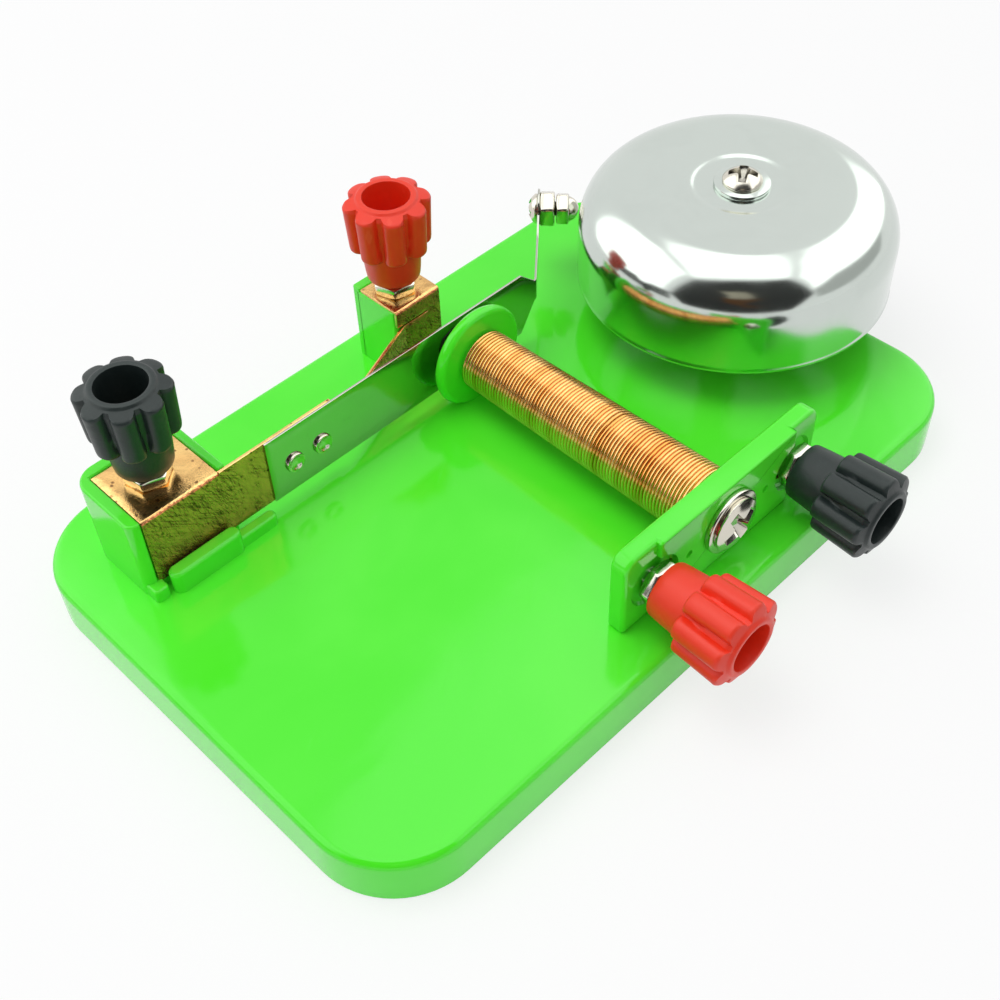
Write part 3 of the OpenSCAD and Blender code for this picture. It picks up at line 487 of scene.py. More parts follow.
class Shape:
    """Vertices and faces of one piece, in millimetres."""

    def __init__(self):
        self.verts, self.faces = [], []

    def add(self, verts, faces, place=None):
        start = len(self.verts)
        self.verts += [place @ Vector(v) if place else Vector(v) for v in verts]
        self.faces += [tuple(start + i for i in face) for face in faces]
        return self

    def loft(self, rings, place=None, caps=True, loop=False):
        """A skin over rings of the same number of points."""
        n = len(rings[0])
        faces = []
        spans = len(rings) if loop else len(rings) - 1
        for i in range(spans):
            a, b = i * n, (i + 1) % len(rings) * n
            faces += [(a + j, a + (j + 1) % n, b + (j + 1) % n, b + j) for j in range(n)]
        if caps and not loop:
            faces += [tuple(range(n))[::-1], tuple(range((len(rings) - 1) * n, len(rings) * n))]
        return self.add([p for ring in rings for p in ring], faces, place)

    def lathe(self, profile, steps, place=None, loop=False):
        """Turns a profile of (radius, height) about Z."""
        turns = [2 * pi * j / steps for j in range(steps)]
        rings = [[polar(max(r, ON_AXIS), a, z) for a in turns] for r, z in profile]
        return self.loft(rings, place, True, loop)

    def tube(self, points, radius, sides, place=None):
        """A round wire along points, with round ends."""
        points = [Vector(p) for p in points]
        rings = []
        side = None
        for i, point in enumerate(points):
            along = (points[min(i + 1, len(points) - 1)] - points[max(i - 1, 0)]).normalized()
            if side is None:
                side = along.orthogonal().normalized()
            side = (side - along * side.dot(along)).normalized()
            other = along.cross(side)
            ends = [(0.0, 1.0)]
            if i == 0:
                ends = [(-0.9, 0.35), (-0.6, 0.8), (0.0, 1.0)]
            elif i == len(points) - 1:
                ends = [(0.0, 1.0), (0.6, 0.8), (0.9, 0.35)]
            for shift, share in ends:
                rings.append([point + along * shift * radius + radius * share * (
                    side * cos(2 * pi * j / sides) + other * sin(2 * pi * j / sides))
                    for j in range(sides)])
        return self.loft(rings, place)

    def soften(self, bm, sharp, edge, segments, place=None, plain=()):
        """Takes over a mesh with its sharp edges rounded, apart from those between plain vertices."""
        bm.normal_update()
        chosen = [e for e in bm.edges if e.calc_face_angle(0) > radians(sharp)
                  and not all(v in plain for v in e.verts)]
        if edge:
            bmesh.ops.bevel(bm, geom=chosen, offset=edge, segments=segments, profile=0.5, affect="EDGES",
                            clamp_overlap=False)
        bm.verts.index_update()
        self.add([v.co.copy() for v in bm.verts], [[v.index for v in f.verts] for f in bm.faces], place)
        bm.free()
        return self

    def prism(self, outline, low, high, edge, place=None, both=False, segments=3):
        """A slab over an outline, with its sharp edges rounded; the low face's edges too if both."""
        bm = bmesh.new()
        bottom = [bm.verts.new((x, y, low)) for x, y in outline]
        top = [bm.verts.new((x, y, high)) for x, y in outline]
        n = len(outline)
        bm.faces.new(bottom[::-1])
        bm.faces.new(top)
        for i in range(n):
            bm.faces.new((bottom[i], bottom[(i + 1) % n], top[(i + 1) % n], top[i]))
        return self.soften(bm, 25, edge, segments, place, () if both else bottom)

    def sheet(self, cells, thick, edge=0.1):
        """A bent sheet from cells of four (point, outward normal) corners each, with soft rims."""
        where, points, faces, rims = {}, [], [], {}
        for cell in cells:
            corners = []
            for point, normal in cell:
                key = tuple(round(c, 3) for c in point)
                if key not in where:
                    where[key] = len(points)
                    points.append((Vector(point), Vector(normal)))
                corners.append(where[key])
            faces.append(corners)
            for a, b in zip(corners, corners[1:] + corners[:1]):
                rims[(a, b)] = True
        n = len(points)
        bm = bmesh.new()
        made = [bm.verts.new(p) for p, _ in points] + [bm.verts.new(p - m * thick) for p, m in points]
        for corners in faces:
            bm.faces.new([made[i] for i in corners])
            bm.faces.new([made[i + n] for i in reversed(corners)])
        for a, b in rims:
            if (b, a) not in rims:
                bm.faces.new((made[b], made[a], made[a + n], made[b + n]))
        return self.soften(bm, 60, edge, 2)

    def mesh(self, name):
        data = bpy.data.meshes.new(name)
        data.from_pydata([v * MM for v in self.verts], [], self.faces)
        bm = bmesh.new()
        bm.from_mesh(data)
        bmesh.ops.remove_doubles(bm, verts=bm.verts, dist=MERGE)
        bmesh.ops.recalc_face_normals(bm, faces=bm.faces)
        bm.to_mesh(data)
        bm.free()
        return data

    def carve(self, cutter):
        """This shape with another one cut out of it."""
        objects = [link("Temporary", s.mesh("Temporary")) for s in (self, cutter)]
        cut = objects[0].modifiers.new("Cut", "BOOLEAN")
        cut.object, cut.operation, cut.solver = objects[1], "DIFFERENCE", "MANIFOLD"
        bpy.context.view_layer.update()
        graph = bpy.context.evaluated_depsgraph_get()
        data = bpy.data.meshes.new_from_object(objects[0].evaluated_get(graph))
        if not len(data.polygons):
            raise RuntimeError("a cut left nothing")
        left = Shape().add([v.co / MM for v in data.vertices], [list(p.vertices) for p in data.polygons])
        for o in objects:
            bpy.data.objects.remove(o)
        return left

    def piece(self, name, body, slot, replaced, sharp=32, weighted=False, ride=True):
        """The finished object, which rides on a body and stands for the CAD nodes it replaces."""
        data = self.mesh(name)
        data.shade_smooth()
        data.set_sharp_from_angle(angle=radians(sharp))
        data.materials.append(finish(slot))
        made = link(name, data)
        if weighted:
            made.modifiers.new("Flat faces", "WEIGHTED_NORMAL").keep_sharp = True
        if ride:
            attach(made, body)
        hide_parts(*replaced)
        return made


def facing_front(x, y, z, turn=0):
    """Places a shape's own +Z along -Y."""
    return (Matrix.Translation((x, y, z)) @ Matrix.Rotation(radians(90), 4, "X")
            @ Matrix.Rotation(radians(turn), 4, "Z"))


def along_magnet(y):
    """Places a shape's own +Z along the magnet's axis, from the end plate towards the armature."""
    sizes = bpy.context.scene.bell_magnet
    return (Matrix.Translation((mm(sizes, "axis_x"), y, mm(sizes, "axis_z")))
            @ Matrix.Rotation(radians(-90), 4, "X"))


def upright(x, y, z, turn=0):
    return Matrix.Translation((x, y, z)) @ Matrix.Rotation(radians(turn), 4, "Z")


def raised(place, height, flip=False):
    """A place moved along its own +Z, and turned upside down if flip is set."""
    moved = place @ Matrix.Translation((0, 0, height))
    return moved @ Matrix.Rotation(pi, 4, "X") if flip else moved


def hex_nut(shape, across, tall, bore, place):
    """A nut with both faces chamfered and slightly rounded corners."""
    steps = 96
    flat = across / 2
    corner = flat / cos(radians(30)) - 0.06

    def ring(limit, height):
        made = []
        for j in range(steps):
            a = 2 * pi * j / steps
            side = min(flat / cos((a + pi / 6) % (pi / 3) - pi / 6), corner)
            made.append(polar(limit(side), a, height(side)))
        return made

    def drop(r):
        return max(0.0, r - flat * 0.96) * tan(radians(30))

    # from the bore to the middle of the flats; the other half is the same upside down
    half = [(lambda r: bore, lambda r: 0.25), (lambda r: bore + 0.25, lambda r: 0.0),
            (lambda r: flat * 0.94, lambda r: 0.0), (lambda r: flat * 0.96, lambda r: 0.02),
            (lambda r: r - 0.03, drop), (lambda r: r, lambda r: drop(r) + 0.05)]
    rings = [ring(limit, height) for limit, height in half]
    rings += [ring(limit, lambda r: tall - height(r)) for limit, height in half[::-1]]
    return shape.loft(rings, place, loop=True)


def thread(shape, radius, low, high, pitch, place, sides=24):
    """A threaded rod between two heights, with a chamfered end."""
    depth = pitch * 0.5
    parts = max(2, round((high - low) / pitch * 6))
    rings = []
    for i in range(parts + 1):
        z = lerp(low, high, i / parts)
        taper = max(0.0, 1 - (high - z) / (pitch * 0.8))
        ring = []
        for j in range(sides):
            phase = (z / pitch - j / sides) % 1.0
            ridge = abs(phase - 0.5) * 2
            r = radius - depth * min(1.0, max(0.0, ridge * 1.25 - 0.12)) - taper * depth
            ring.append(polar(r, 2 * pi * j / sides, z))
        rings.append(ring)
    return shape.loft(rings, place)


heads = {}


def cross_head(shape, radius, tall, place, bulge=1.25):
    """A domed head with a cross recess, standing on z = 0. The dome's radius is bulge times the head's."""
    key = (radius, tall, bulge)
    if key not in heads:
        dome = radius * bulge
        profile = [(0, 0), (radius - 0.2, 0), (radius - 0.06, 0.06), (radius, 0.2)]
        rise = dome - sqrt(dome ** 2 - radius ** 2)
        profile += [(radius, tall - rise - 0.05)]
        for i in range(1, 15):
            r = radius * cos(radians(90 * i / 14)) * 0.985
            profile.append((r, tall - dome + sqrt(dome ** 2 - r * r)))
        rings = []
        for z, arm, blade in ((tall + 1, 0.94, 0.27), (tall, 0.88, 0.24), (tall * 0.45, 0.62, 0.16),
                              (tall * 0.12, 0.24, 0.09)):
            a, w, c = radius * arm, radius * blade, radius * 0.10
            quarter = [(a, -w), (a + 0.05, 0), (a, w), (w + c, w), (w + c * 0.3, w + c * 0.3), (w, w + c)]
            rings.append([(x * k - y * s, x * s + y * k, z)
                          for k, s in ((1, 0), (0, 1), (-1, 0), (0, -1)) for x, y in quarter])
        heads[key] = Shape().lathe(profile, 72).carve(Shape().loft(rings))
    return shape.add(heads[key].verts, heads[key].faces, place)


def washer(shape, radius, hole, thick, place):
    e = min(0.22, thick * 0.3)
    return shape.lathe([(hole, e), (hole + e, 0), (radius - e, 0), (radius - e * 0.3, e * 0.3), (radius, e),
                        (radius, thick - e), (radius - e * 0.3, thick - e * 0.3), (radius - e, thick),
                        (hole + e, thick), (hole, thick - e)], 96, place, loop=True)


# ---------------------------------------------------------------- operators

class BELL_OT_tray(Operator):
    """Makes the green tray with its two stands"""
    bl_idname = "bell.tray"
    bl_label = "Tray and stands"

    def execute(self, context):
        s = context.scene.bell_tray
        wide, deep, tall, corner, edge, skirt, top, seat, soft = mm(
            s, "width", "depth", "height", "corner", "edge", "skirt", "top", "seat", "soft")
        roof = tall - top
        shape = Shape()

        def ring(inset, z):
            r = max(corner - inset, 0.5)
            return [(x, y, z) for x, y in rounded(inset - wide / 2, inset - deep / 2, wide / 2 - inset,
                                                  deep / 2 - inset, r, 16)]

        rings = [ring(skirt + 1.2, roof), ring(skirt + 0.6, roof), ring(skirt + 0.18, roof - 0.18),
                 ring(skirt, roof - 0.6), ring(skirt, 0.25), ring(skirt - 0.1, 0.05), ring(skirt - 0.3, 0),
                 ring(0.35, 0), ring(0.1, 0.1), ring(0, 0.35)]
        for i in range(9):
            a = radians(90 * i / 8)
            rings.append(ring(edge * (1 - cos(a)), tall - edge + edge * sin(a)))
        rings.append(ring(edge + 0.6, tall))
        shape.loft(rings)
        # ribs below the top; the one along X makes room for the gong's screw
        ribs = [(x - 0.9, 1 - deep / 2, x + 0.9, deep / 2 - 1) for x in (-24, 36)]
        ribs += [(x0, -2.9, x1, -1.1) for x0, x1 in ((1 - wide / 2, 52.9), (62.7, wide / 2 - 1))]
        for rib in ribs:
            shape.prism(rounded(*rib, 0.2, 2), roof + 0.5, 0.02, 0.15)
        # the left stand: three walls round a seat
        foot = tall - 1
        walls = ([(-58.6, 20.6)] + arc(-59.3, 22.1, 1.5, 270, 180, 6) + arc(-56.8, 32.6, 4, 180, 90, 12)
                 + arc(-42.6, 36.1, 0.5, 90, 0, 4) + arc(-42.6, 21.8, 0.5, 0, -90, 4)
                 + [(-43.7, 21.3), (-43.7, 34.4), (-58.6, 34.4)])
        shape.prism(walls, foot, seat + 0.9, soft, segments=4)
        # its seat, its wall's foot and the two ridges before the hanging sheet; then the rear stand,
        # a block with a low wall at its back
        for plan, high, edge_r, segments in (
                (rounded(-59, 21.3, -43.3, 34.9, 0.2, 2), seat, 0.1, 3),
                (rounded(-60.6, 18.6, -57.9, 22.0, 0.7, 4), 11.9, soft, 4),
                (rounded(-57.3, 17.5, -43.7, 20.3, 1.35, 8), 13.8, 0.7, 5),
                (rounded(-45.5, 18.1, -36.4, 20.3, 1.05, 8), 11.7, 0.55, 5),
                (rounded(0.9, 29.6, 11.3, 39.4, 0.3, 3), seat, 0.15, 3),
                (rounded(0.9, 38.5, 11.3, 40.5, 0.45, 4), seat + 0.7, 0.3, 3)):
            shape.prism(plan, foot, high, edge_r, segments=segments)
        shape.piece("Tray", "stand", "green_plastic", ["base"], weighted=True)
        return {"FINISHED"}


class BELL_OT_former(Operator):
    """Makes the coil former: end plate, tube and round flange"""
    bl_idname = "bell.former"
    bl_label = "Coil former"

    def execute(self, context):
        s = context.scene.bell_magnet
        x, wide, top, flange, pitch = mm(s, "axis_x", "plate_width", "plate_top", "flange", "pitch")
        base = mm(context.scene.bell_tray, "height")
        middle = (base + top) / 2
        # drawn in X and Z, with heights towards the front: a sink for each post's nut, a hole for each
        # lead, and a duct from the hole to the sink
        lying = facing_front(0, 0, 0)
        plate_back, plate_front, pad_back, pad_front = -TUBE_START, 38.2, 36.3, 39.1
        sink = [(0, 37.7), (4.5, 37.7), (4.9, 38.1), (4.9, 42)]
        plate_cut, pad_cut, duct = Shape(), Shape(), Shape()
        for side in (-1, 1):
            post = lying @ Matrix.Translation((x + side * pitch / 2, middle, 0))
            hole = lying @ Matrix.Translation((x + side * LEAD_HOLE, middle, 0))
            plate_cut.lathe(sink, 72, post)
            plate_cut.lathe([(0, 30), (0.7, 30), (0.7, 42)], 24, hole)
            pad_cut.lathe([(0, 33), (4.9, 33), (4.9, 42)], 72, post)
            pad_cut.lathe([(0, 30), (0.72, 30), (0.72, 42)], 24, hole)
            mid = x + side * 11
            duct.prism(rounded(mid - 2.2, -38.0, mid + 2.2, -37.1, 0.3, 3), middle - 0.5, middle + 0.5, 0)
        half, round_r = wide / 2, 2.6
        outline = ([(x - half, base - 0.02), (x + half, base - 0.02)]
                   + arc(x + half - round_r, top - round_r, round_r, 0, 90, 8)
                   + arc(x - half + round_r, top - round_r, round_r, 90, 180, 8))
        plate = Shape().prism(outline, plate_back, plate_front, 0.75, lying, both=True, segments=5)
        raised_middle = rounded(x - pitch / 2 + 0.6, base, x + pitch / 2 - 0.6, top - 0.01, 0.3, 3)
        pad = Shape().prism(raised_middle, pad_back, pad_front, 0.4, lying, segments=4)
        shape = Shape()
        for body in (plate.carve(plate_cut).carve(duct), pad.carve(pad_cut)):
            shape.add(body.verts, body.faces)
        # the two tabs that hold the plate in the tray
        for side in (-1, 1):
            mid = x + side * 12
            shape.prism(rounded(mid - 4, -37.55, mid + 4, -35.55, 0.2, 2), base + 0.3, 5.8, 0.15)
        # the flange and the tapered tube
        r, lip, bore = flange / 2, 1.15, 4.05
        rim = [(r - lip + lip * sin(a), lip - lip * cos(a)) for a in [pi * i / 16 for i in range(17)]]
        shape.lathe([(bore, 0.1), (bore + 0.1, 0)] + rim + [(4.3, 2.3), (bore, 2.1)], 128,
                    along_magnet(15.9), loop=True)
        shape.lathe([(bore, -0.5), (TUBE_WIDE, -0.5), (4.8, 51.0), (bore, 51.0)], 64,
                    along_magnet(TUBE_START), loop=True)
        shape.piece("Coil_former_shell", "stand", "green_plastic", ["coil_former"], weighted=True)
        return {"FINISHED"}


class BELL_OT_winding(Operator):
    """Winds the coil and lays its two lead wires"""
    bl_idname = "bell.winding"
    bl_label = "Winding and leads"

    def execute(self, context):
        s = context.scene.bell_magnet
        x, z, wire, pitch = mm(s, "axis_x", "axis_z", "wire", "pitch")
        rng = random.Random(7)
        long, taper, per_turn = 50.8, 0.8, 40
        start, end = wire * 0.55, long - wire * 0.75
        step = (end - start) / s.turns
        drift = [rng.uniform(-0.012, 0.012) for _ in range(s.turns + 2)]
        lift = [rng.uniform(0.0, 0.03) for _ in range(s.turns + 2)]
        points = []
        for i in range(s.turns * per_turn + 1):
            turn = i / per_turn
            k, t = int(turn), turn % 1.0
            along = start + step * turn + lerp(drift[k], drift[k + 1], t)
            # one turn lies a little askew, about a third of the way from the end plate
            along += 0.24 * exp(-((along - 19.5) / 0.9) ** 2) * sin(2 * pi * t - 0.6)
            r = TUBE_WIDE + 0.02 - taper * along / long + wire / 2 + lerp(lift[k], lift[k + 1], t)
            points.append(polar(r, 2 * pi * turn, along))
        Shape().tube(points, wire / 2, 10, along_magnet(TUBE_START)).piece(
            "Coil_turns", "stand", "coil_wire", ["coil_winding"], sharp=80)
        # each lead leaves the tube, turns off inside the plate and ends in a loop under the post's nut
        base = mm(context.scene.bell_tray, "height")
        middle = (base + mm(s, "plate_top")) / 2
        sink, loop = -38.55 + wire / 2, 2 + wire / 2 + 0.08
        shape = Shape()
        for side in (-1, 1):
            hole, post = x + side * LEAD_HOLE, x + side * pitch / 2
            edge = post - side * 4.6
            line = [(x + side * 4.6, -33.8, z + 2.6), (x + side * 6.6, -34.0, z + 1.0),
                    (hole - side * 0.3, -34.4, middle), (hole, -35.2, middle), (hole, -37.5, middle),
                    (edge, -37.55, middle), (edge + side * 0.5, sink, middle),
                    (edge + side * 1.1, sink, middle - 1.2)]
            for a in [radians(degrees) for degrees in range(-48, 97, 12)]:
                line.append((post + side * loop * sin(a), sink, middle - loop * cos(a)))
            shape.tube(smooth_line(line, 0.8, 5), wire / 2 - 0.01, 12)
        shape.piece("Coil_lead_wires", "stand", "coil_wire", ["coil_leads"], sharp=80)
        return {"FINISHED"}


class BELL_OT_core(Operator):
    """Makes the core's screw and washer, and gives the core its finish"""
    bl_idname = "bell.core"
    bl_label = "Core, screw and washer"

    def execute(self, context):
        s = context.scene.bell_magnet
        x, z = mm(s, "axis_x", "axis_z")
        seat = along_magnet(SCREW_SEAT)
        washer(Shape(), 5.85, 2.75, 1.0, seat).piece("Core_washer_disc", "stand", "nickel", ["core_washer"])
        shape = cross_head(Shape(), 4.8, 1.7, facing_front(x, SCREW_SEAT, z, 28), 2.6)
        thread(shape, 2.45, 0.1, 15, 0.8, seat)
        shape.piece("Core_cross_screw", "stand", "nickel", ["core_screw"])
        refinish("core", "iron")
        return {"FINISHED"}


def grid(us, vs, corner):
    """Cells between the lines of a grid, each with its four corners."""
    return [[corner(u, v) for u, v in ((a, c), (b, c), (b, d), (a, d))]
            for a, b in zip(us, us[1:]) for c, d in zip(vs, vs[1:])]


def fold_cells(xs, zs, front, top, back, radius):
    """Cells of a sheet that hangs in front and is folded back over a stand."""
    fold = zs[-1]

    def corner(x, v):
        if v <= fold:
            return (x, front, v), (0, -1, 0)
        a = (v - fold) / radius
        if a < pi / 2:
            return ((x, front + radius - radius * cos(a), top - radius + radius * sin(a)),
                    (0, -cos(a), sin(a)))
        return (x, front + radius + v - fold - radius * pi / 2, top), (0, 0, 1)

    vs = list(zs) + [fold + radius * pi / 2 * i / 6 for i in range(1, 7)]
    flat = back - front - radius
    vs += [vs[-1] + flat * i / 8 for i in range(1, 9)]
    return grid(xs, vs, corner)


def flat_cells(xs, zs, y):
    return grid(xs, zs, lambda x, z: ((x, y, z), (0, -1, 0)))


def spread(low, high, step):
    n = max(1, round((high - low) / step))
    return [lerp(low, high, i / n) for i in range(n + 1)]


class BELL_OT_brackets(Operator):
    """Folds the two copper sheets: the armature's and the contact's"""
    bl_idname = "bell.brackets"
    bl_label = "Copper sheets"

    def execute(self, context):
        thick = mm(context.scene.bell_armature, "copper")
        top = mm(context.scene.bell_tray, "seat") + thick
        r = thick * 1.2
        low_z = top - SHEET_TALL
        fold_z = top - r
        # the armature's sheet: folded over the left stand, then straight on to the strip
        front = 20.6
        left = spread(-58.5, -43.8, 1.5)
        right = spread(-43.8, -37.4, 1.6)[:-1] + spread(-37.4, -35.4, 0.1) + spread(-35.4, -21, 1.8)[1:]
        heights = [low_z] + spread(low_z + 1, fold_z, 1.6)
        cells = fold_cells(left, [low_z - 0.6] + heights, front, top, 34.3, r)
        cells += flat_cells(right, heights + [top], front)
        sheet = Shape().sheet(cells, thick).piece(
            "Armature_sheet", "stand", "copper_sheet", ["armature_bracket", "armature_arm"], sharp=40,
            ride=False)
        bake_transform(sheet)
        # the contact's sheet: its tongue is cut free above and leans across to the armature
        front = 28.9
        root, side_cut, tongue_top, slit_top = 2.8, 8.2, 21.4, 21.75
        xs = [1, root] + spread(root, side_cut, 0.9)[1:] + spread(side_cut, 11.2, 1.0)[1:]
        split = [12.6 + 1.1 * i for i in range(8)] + [tongue_top]
        cells = fold_cells(xs, [slit_top] + spread(22.4, fold_z, 1.0), front, top, 38.4, r)
        cells += flat_cells([x for x in xs if x >= side_cut], [tongue_top, slit_top], front)
        cells += flat_cells([x for x in xs if x >= root], split, front)
        bend = Vector((root, front + thick / 2))
        line = smooth_line([(4.2, bend.y), (root, bend.y), (-17.55, 21.12), (-20, 21.0)], 1.1, 6)
        line = [bend] + [p for p in line if p.x < root - 0.05]
        dense = []
        for a, b in zip(line, line[1:]):
            n = max(1, round((b - a).length / 1.5))
            dense += [a.lerp(b, i / n) for i in range(n)]
        dense.append(line[-1])
        faces = []
        for i, p in enumerate(dense):
            along = (dense[min(i + 1, len(dense) - 1)] - dense[max(i - 1, 0)]).normalized()
            side = Vector((0, -1)) if i == 0 else Vector((-along.y, along.x))
            if side.y > 0:
                side = -side
            faces.append((p + side * thick / 2, side))
        for near, far in zip(faces[1:], faces):
            cells += grid((near, far), split, lambda face, z: ((*face[0], z), (*face[1], 0)))
        Shape().sheet(cells, thick, 0.08).piece(
            "Contact_sheet", "stand", "copper_sheet", ["contact_bracket"], sharp=40)
        return {"FINISHED"}


class BELL_OT_armature(Operator):
    """Makes the steel strip with its rivets and its hammer"""
    bl_idname = "bell.armature"
    bl_label = "Strip and hammer"

    def execute(self, context):
        s = context.scene.bell_armature
        thick, arm, eye = mm(s, "steel", "hammer", "eye")
        top = mm(context.scene.bell_tray, "seat") + mm(s, "copper")
        low = top - SHEET_TALL
        eye_z, eye_neck, taper = 23.4, 7, 3.6
        bend_x, bend_r, middle = 26.6, 1.0, 20.4
        # the hammer arm's lower and upper edge, where it leaves the wide strip and before the eye
        arm_low, arm_top, neck_top = 17.8, 22.2, 22.8
        rivet_z = 17.8
        arc_long = bend_r * s.bend

        def path(u):
            """Middle of the strip in plan at a distance u from the bend, and its direction."""
            if u <= 0:
                return (bend_x + u, middle), (1, 0)
            turn = min(u / bend_r, s.bend)
            x = bend_x + bend_r * sin(turn)
            y = middle + bend_r - bend_r * cos(turn)
            rest = max(0.0, u - arc_long)
            return (x + rest * cos(turn), y + rest * sin(turn)), (cos(turn), sin(turn))

        def reach(u):
            """Lowest and highest point of the strip there."""
            if u <= 0:
                return (lerp(arm_low, low, min(1, -u / taper)) if u > -taper else low,
                        lerp(arm_top, top, min(1, -u / 3.4)))
            a = u - arc_long
            if a <= 0:
                return arm_low, arm_top
            down = lerp(arm_low, eye_z - eye * 0.8, min(1, a / arm))
            up = lerp(arm_top, neck_top, a / (arm - eye_neck))
            if a >= arm - eye_neck:
                up = lerp(neck_top, eye_z + eye * 0.8, (a - arm + eye_neck) / eye_neck)
            near = eye * eye - (a - arm) ** 2
            if near > 0:
                round_low, round_top = eye_z - sqrt(near), eye_z + sqrt(near)
                if a > arm:
                    return round_low, round_top
                return min(down, round_low), max(up, round_top)
            return down, up

        us = spread(-61.7, -taper, 2.0) + [-3.4, -2.2, -1.1, 0] + [arc_long * i / 6 for i in range(1, 7)]
        us += [arc_long + a for a in spread(0, arm - 3.7, 1.3)[1:]]
        us += [arc_long + arm - eye * cos(radians(a)) for a in range(15, 180, 11)]
        us = sorted(set(round(u, 4) for u in us))
        rows = 6

        def corner(u, row):
            (x, y), (dx, dy) = path(u)
            down, up = reach(u)
            side = Vector((dy, -dx))
            spot = Vector((x, y)) + side * thick / 2
            return (spot.x, spot.y, lerp(down, up, row / rows)), (side.x, side.y, 0)

        Shape().sheet(grid(us, range(rows + 1), corner), thick, 0.07).piece(
            "Hammer_strip", "armature", "spring_steel", ["armature_strip"], sharp=40)
        # the rivets are hollow: a tail through the sheets, and a turned-over rim round a cup
        shape = Shape()
        for spot in (-30.1, -24.2):
            tail = [(0, -1.38), (1.2, -1.38), (1.5, -1.25), (1.55, -1.02), (1.0, -1.0), (1.0, 0.01)]
            cup = [(1.76, 0.01), (1.84, 0.09), (1.84, 0.32), (1.75, 0.49), (1.6, 0.56), (1.44, 0.52),
                   (1.22, 0.36), (0.95, 0.22), (0.65, 0.12), (0.35, 0.07), (0, 0.05)]
            shape.lathe(tail + cup, 48, facing_front(spot, middle - thick / 2, rivet_z))
        shape.piece("Strip_rivets", "armature", "nickel", ["armature_rivets"])
        # the hammer's screw, nut and striker stand on the near side of the eye
        (x, y), (dx, dy) = path(arc_long + arm)
        out = (Matrix.Translation((x + dy * thick / 2, y - dx * thick / 2, eye_z))
               @ Matrix.Rotation(s.bend, 4, "Z") @ Matrix.Rotation(radians(90), 4, "X"))
        shape = cross_head(Shape(), 2.8, 1.9, raised(out, -thick, True))
        thread(shape, 1.45, 0.02, 5.6, 0.5, out, 20)
        shape.piece("Hammer_cross_screw", "armature", "nickel", ["hammer_screw"])
        hex_nut(Shape(), 6.2, 2.8, 1.6, out).piece("Hammer_hex_nut", "armature", "nickel", ["hammer_nut"])
        tip = raised(out, 3.1)
        shape = hex_nut(Shape(), 5.5, 2.4, 1.6, tip)
        shape.lathe([(1.7, 1.6)] + arc(0, 1.8, 2.45, 0, 90, 15), 64, tip)
        shape.piece("Hammer_striker", "armature", "nickel", ["striker"])
        return {"FINISHED"}


class BELL_OT_gong(Operator):
    """Spins the gong and makes its washer and screws"""
    bl_idname = "bell.gong"
    bl_label = "Gong"

    def execute(self, context):
        s = context.scene.bell_gong
        r, rim, crown, shoulder, wall, dish = mm(s, "radius", "rim", "crown", "shoulder", "wall", "dish")
        base = mm(context.scene.bell_tray, "height")
        x, y = GONG_AT
        outer = [(r + 0.08, rim + 0.12), (r + 0.1, rim + 0.3), (r + 0.08, rim + 0.6), (r, rim + 0.9)]
        outer += [(r, z) for z in spread(rim + 1.2, crown - shoulder, 1.5)]
        outer += arc(r - shoulder, crown - shoulder, shoulder, 0, 90, 40)[1:]
        outer += [(v, crown) for v in spread(dish + 0.9, r - shoulder, 2.0)[::-1][1:]]
        sink = [0.5 - 0.5 * cos(pi * i / 14) for i in range(1, 15)]
        outer += [(dish + 0.9 - 1.9 * i / 14, crown - 0.24 * drop) for i, drop in enumerate(sink, 1)]
        outer += [(v, crown - 0.25) for v in (6.5, 4, 2.5)] + [(2.25, crown - 0.4), (2.25, crown - wall)]
        inner_r = r - wall
        inner = [(v, crown - wall) for v in spread(4, r - shoulder, 3)]
        inner += arc(r - shoulder, crown - shoulder, shoulder - wall, 90, 0, 24)[1:]
        inner += [(inner_r, z) for z in spread(rim + 0.2, crown - shoulder, 2.0)[::-1][1:]]
        inner += [(inner_r + 0.1, rim + 0.02), (inner_r + 0.25, rim), (r - 0.1, rim)]
        Shape().lathe(outer + inner, 256, upright(x, y, 0), loop=True).piece(
            "Gong_bowl", "stand", "gong_chrome", ["gong"], sharp=30)
        washer(Shape(), 5.05, 2.2, 0.8, upright(x, y, crown - 0.3)).piece(
            "Gong_washer_disc", "stand", "gong_chrome", ["gong_washer"])
        shape = cross_head(Shape(), 3.6, 2.3, upright(x, y, crown + 0.5, 33))
        thread(shape, 1.95, -11, 0.02, 0.7, upright(x, y, crown + 0.5))
        shape.piece("Gong_cross_screw", "stand", "nickel", ["gong_screw"])
        below = raised(upright(x, y, base - 2.6), 0, True)
        shape = cross_head(Shape(), 4.0, 2.4, below)
        thread(shape, 1.95, -11, 0.02, 0.7, below)
        shape.piece("Pillar_cross_screw", "stand", "nickel", ["pillar_screw"])
        refinish("gong_pillar", "nickel")
        return {"FINISHED"}


class Post(NamedTuple):
    """A binding post: its seat, how it stands there, its turns in degrees and its cap's finish."""
    seat: tuple
    stand: Callable
    depth: float  # of the stud's head below the seat
    gap: float  # between nut and cap
    nut_turn: float
    cap_turn: float
    slot: str

    def place(self, turn=0):
        return self.stand(*self.seat, turn)


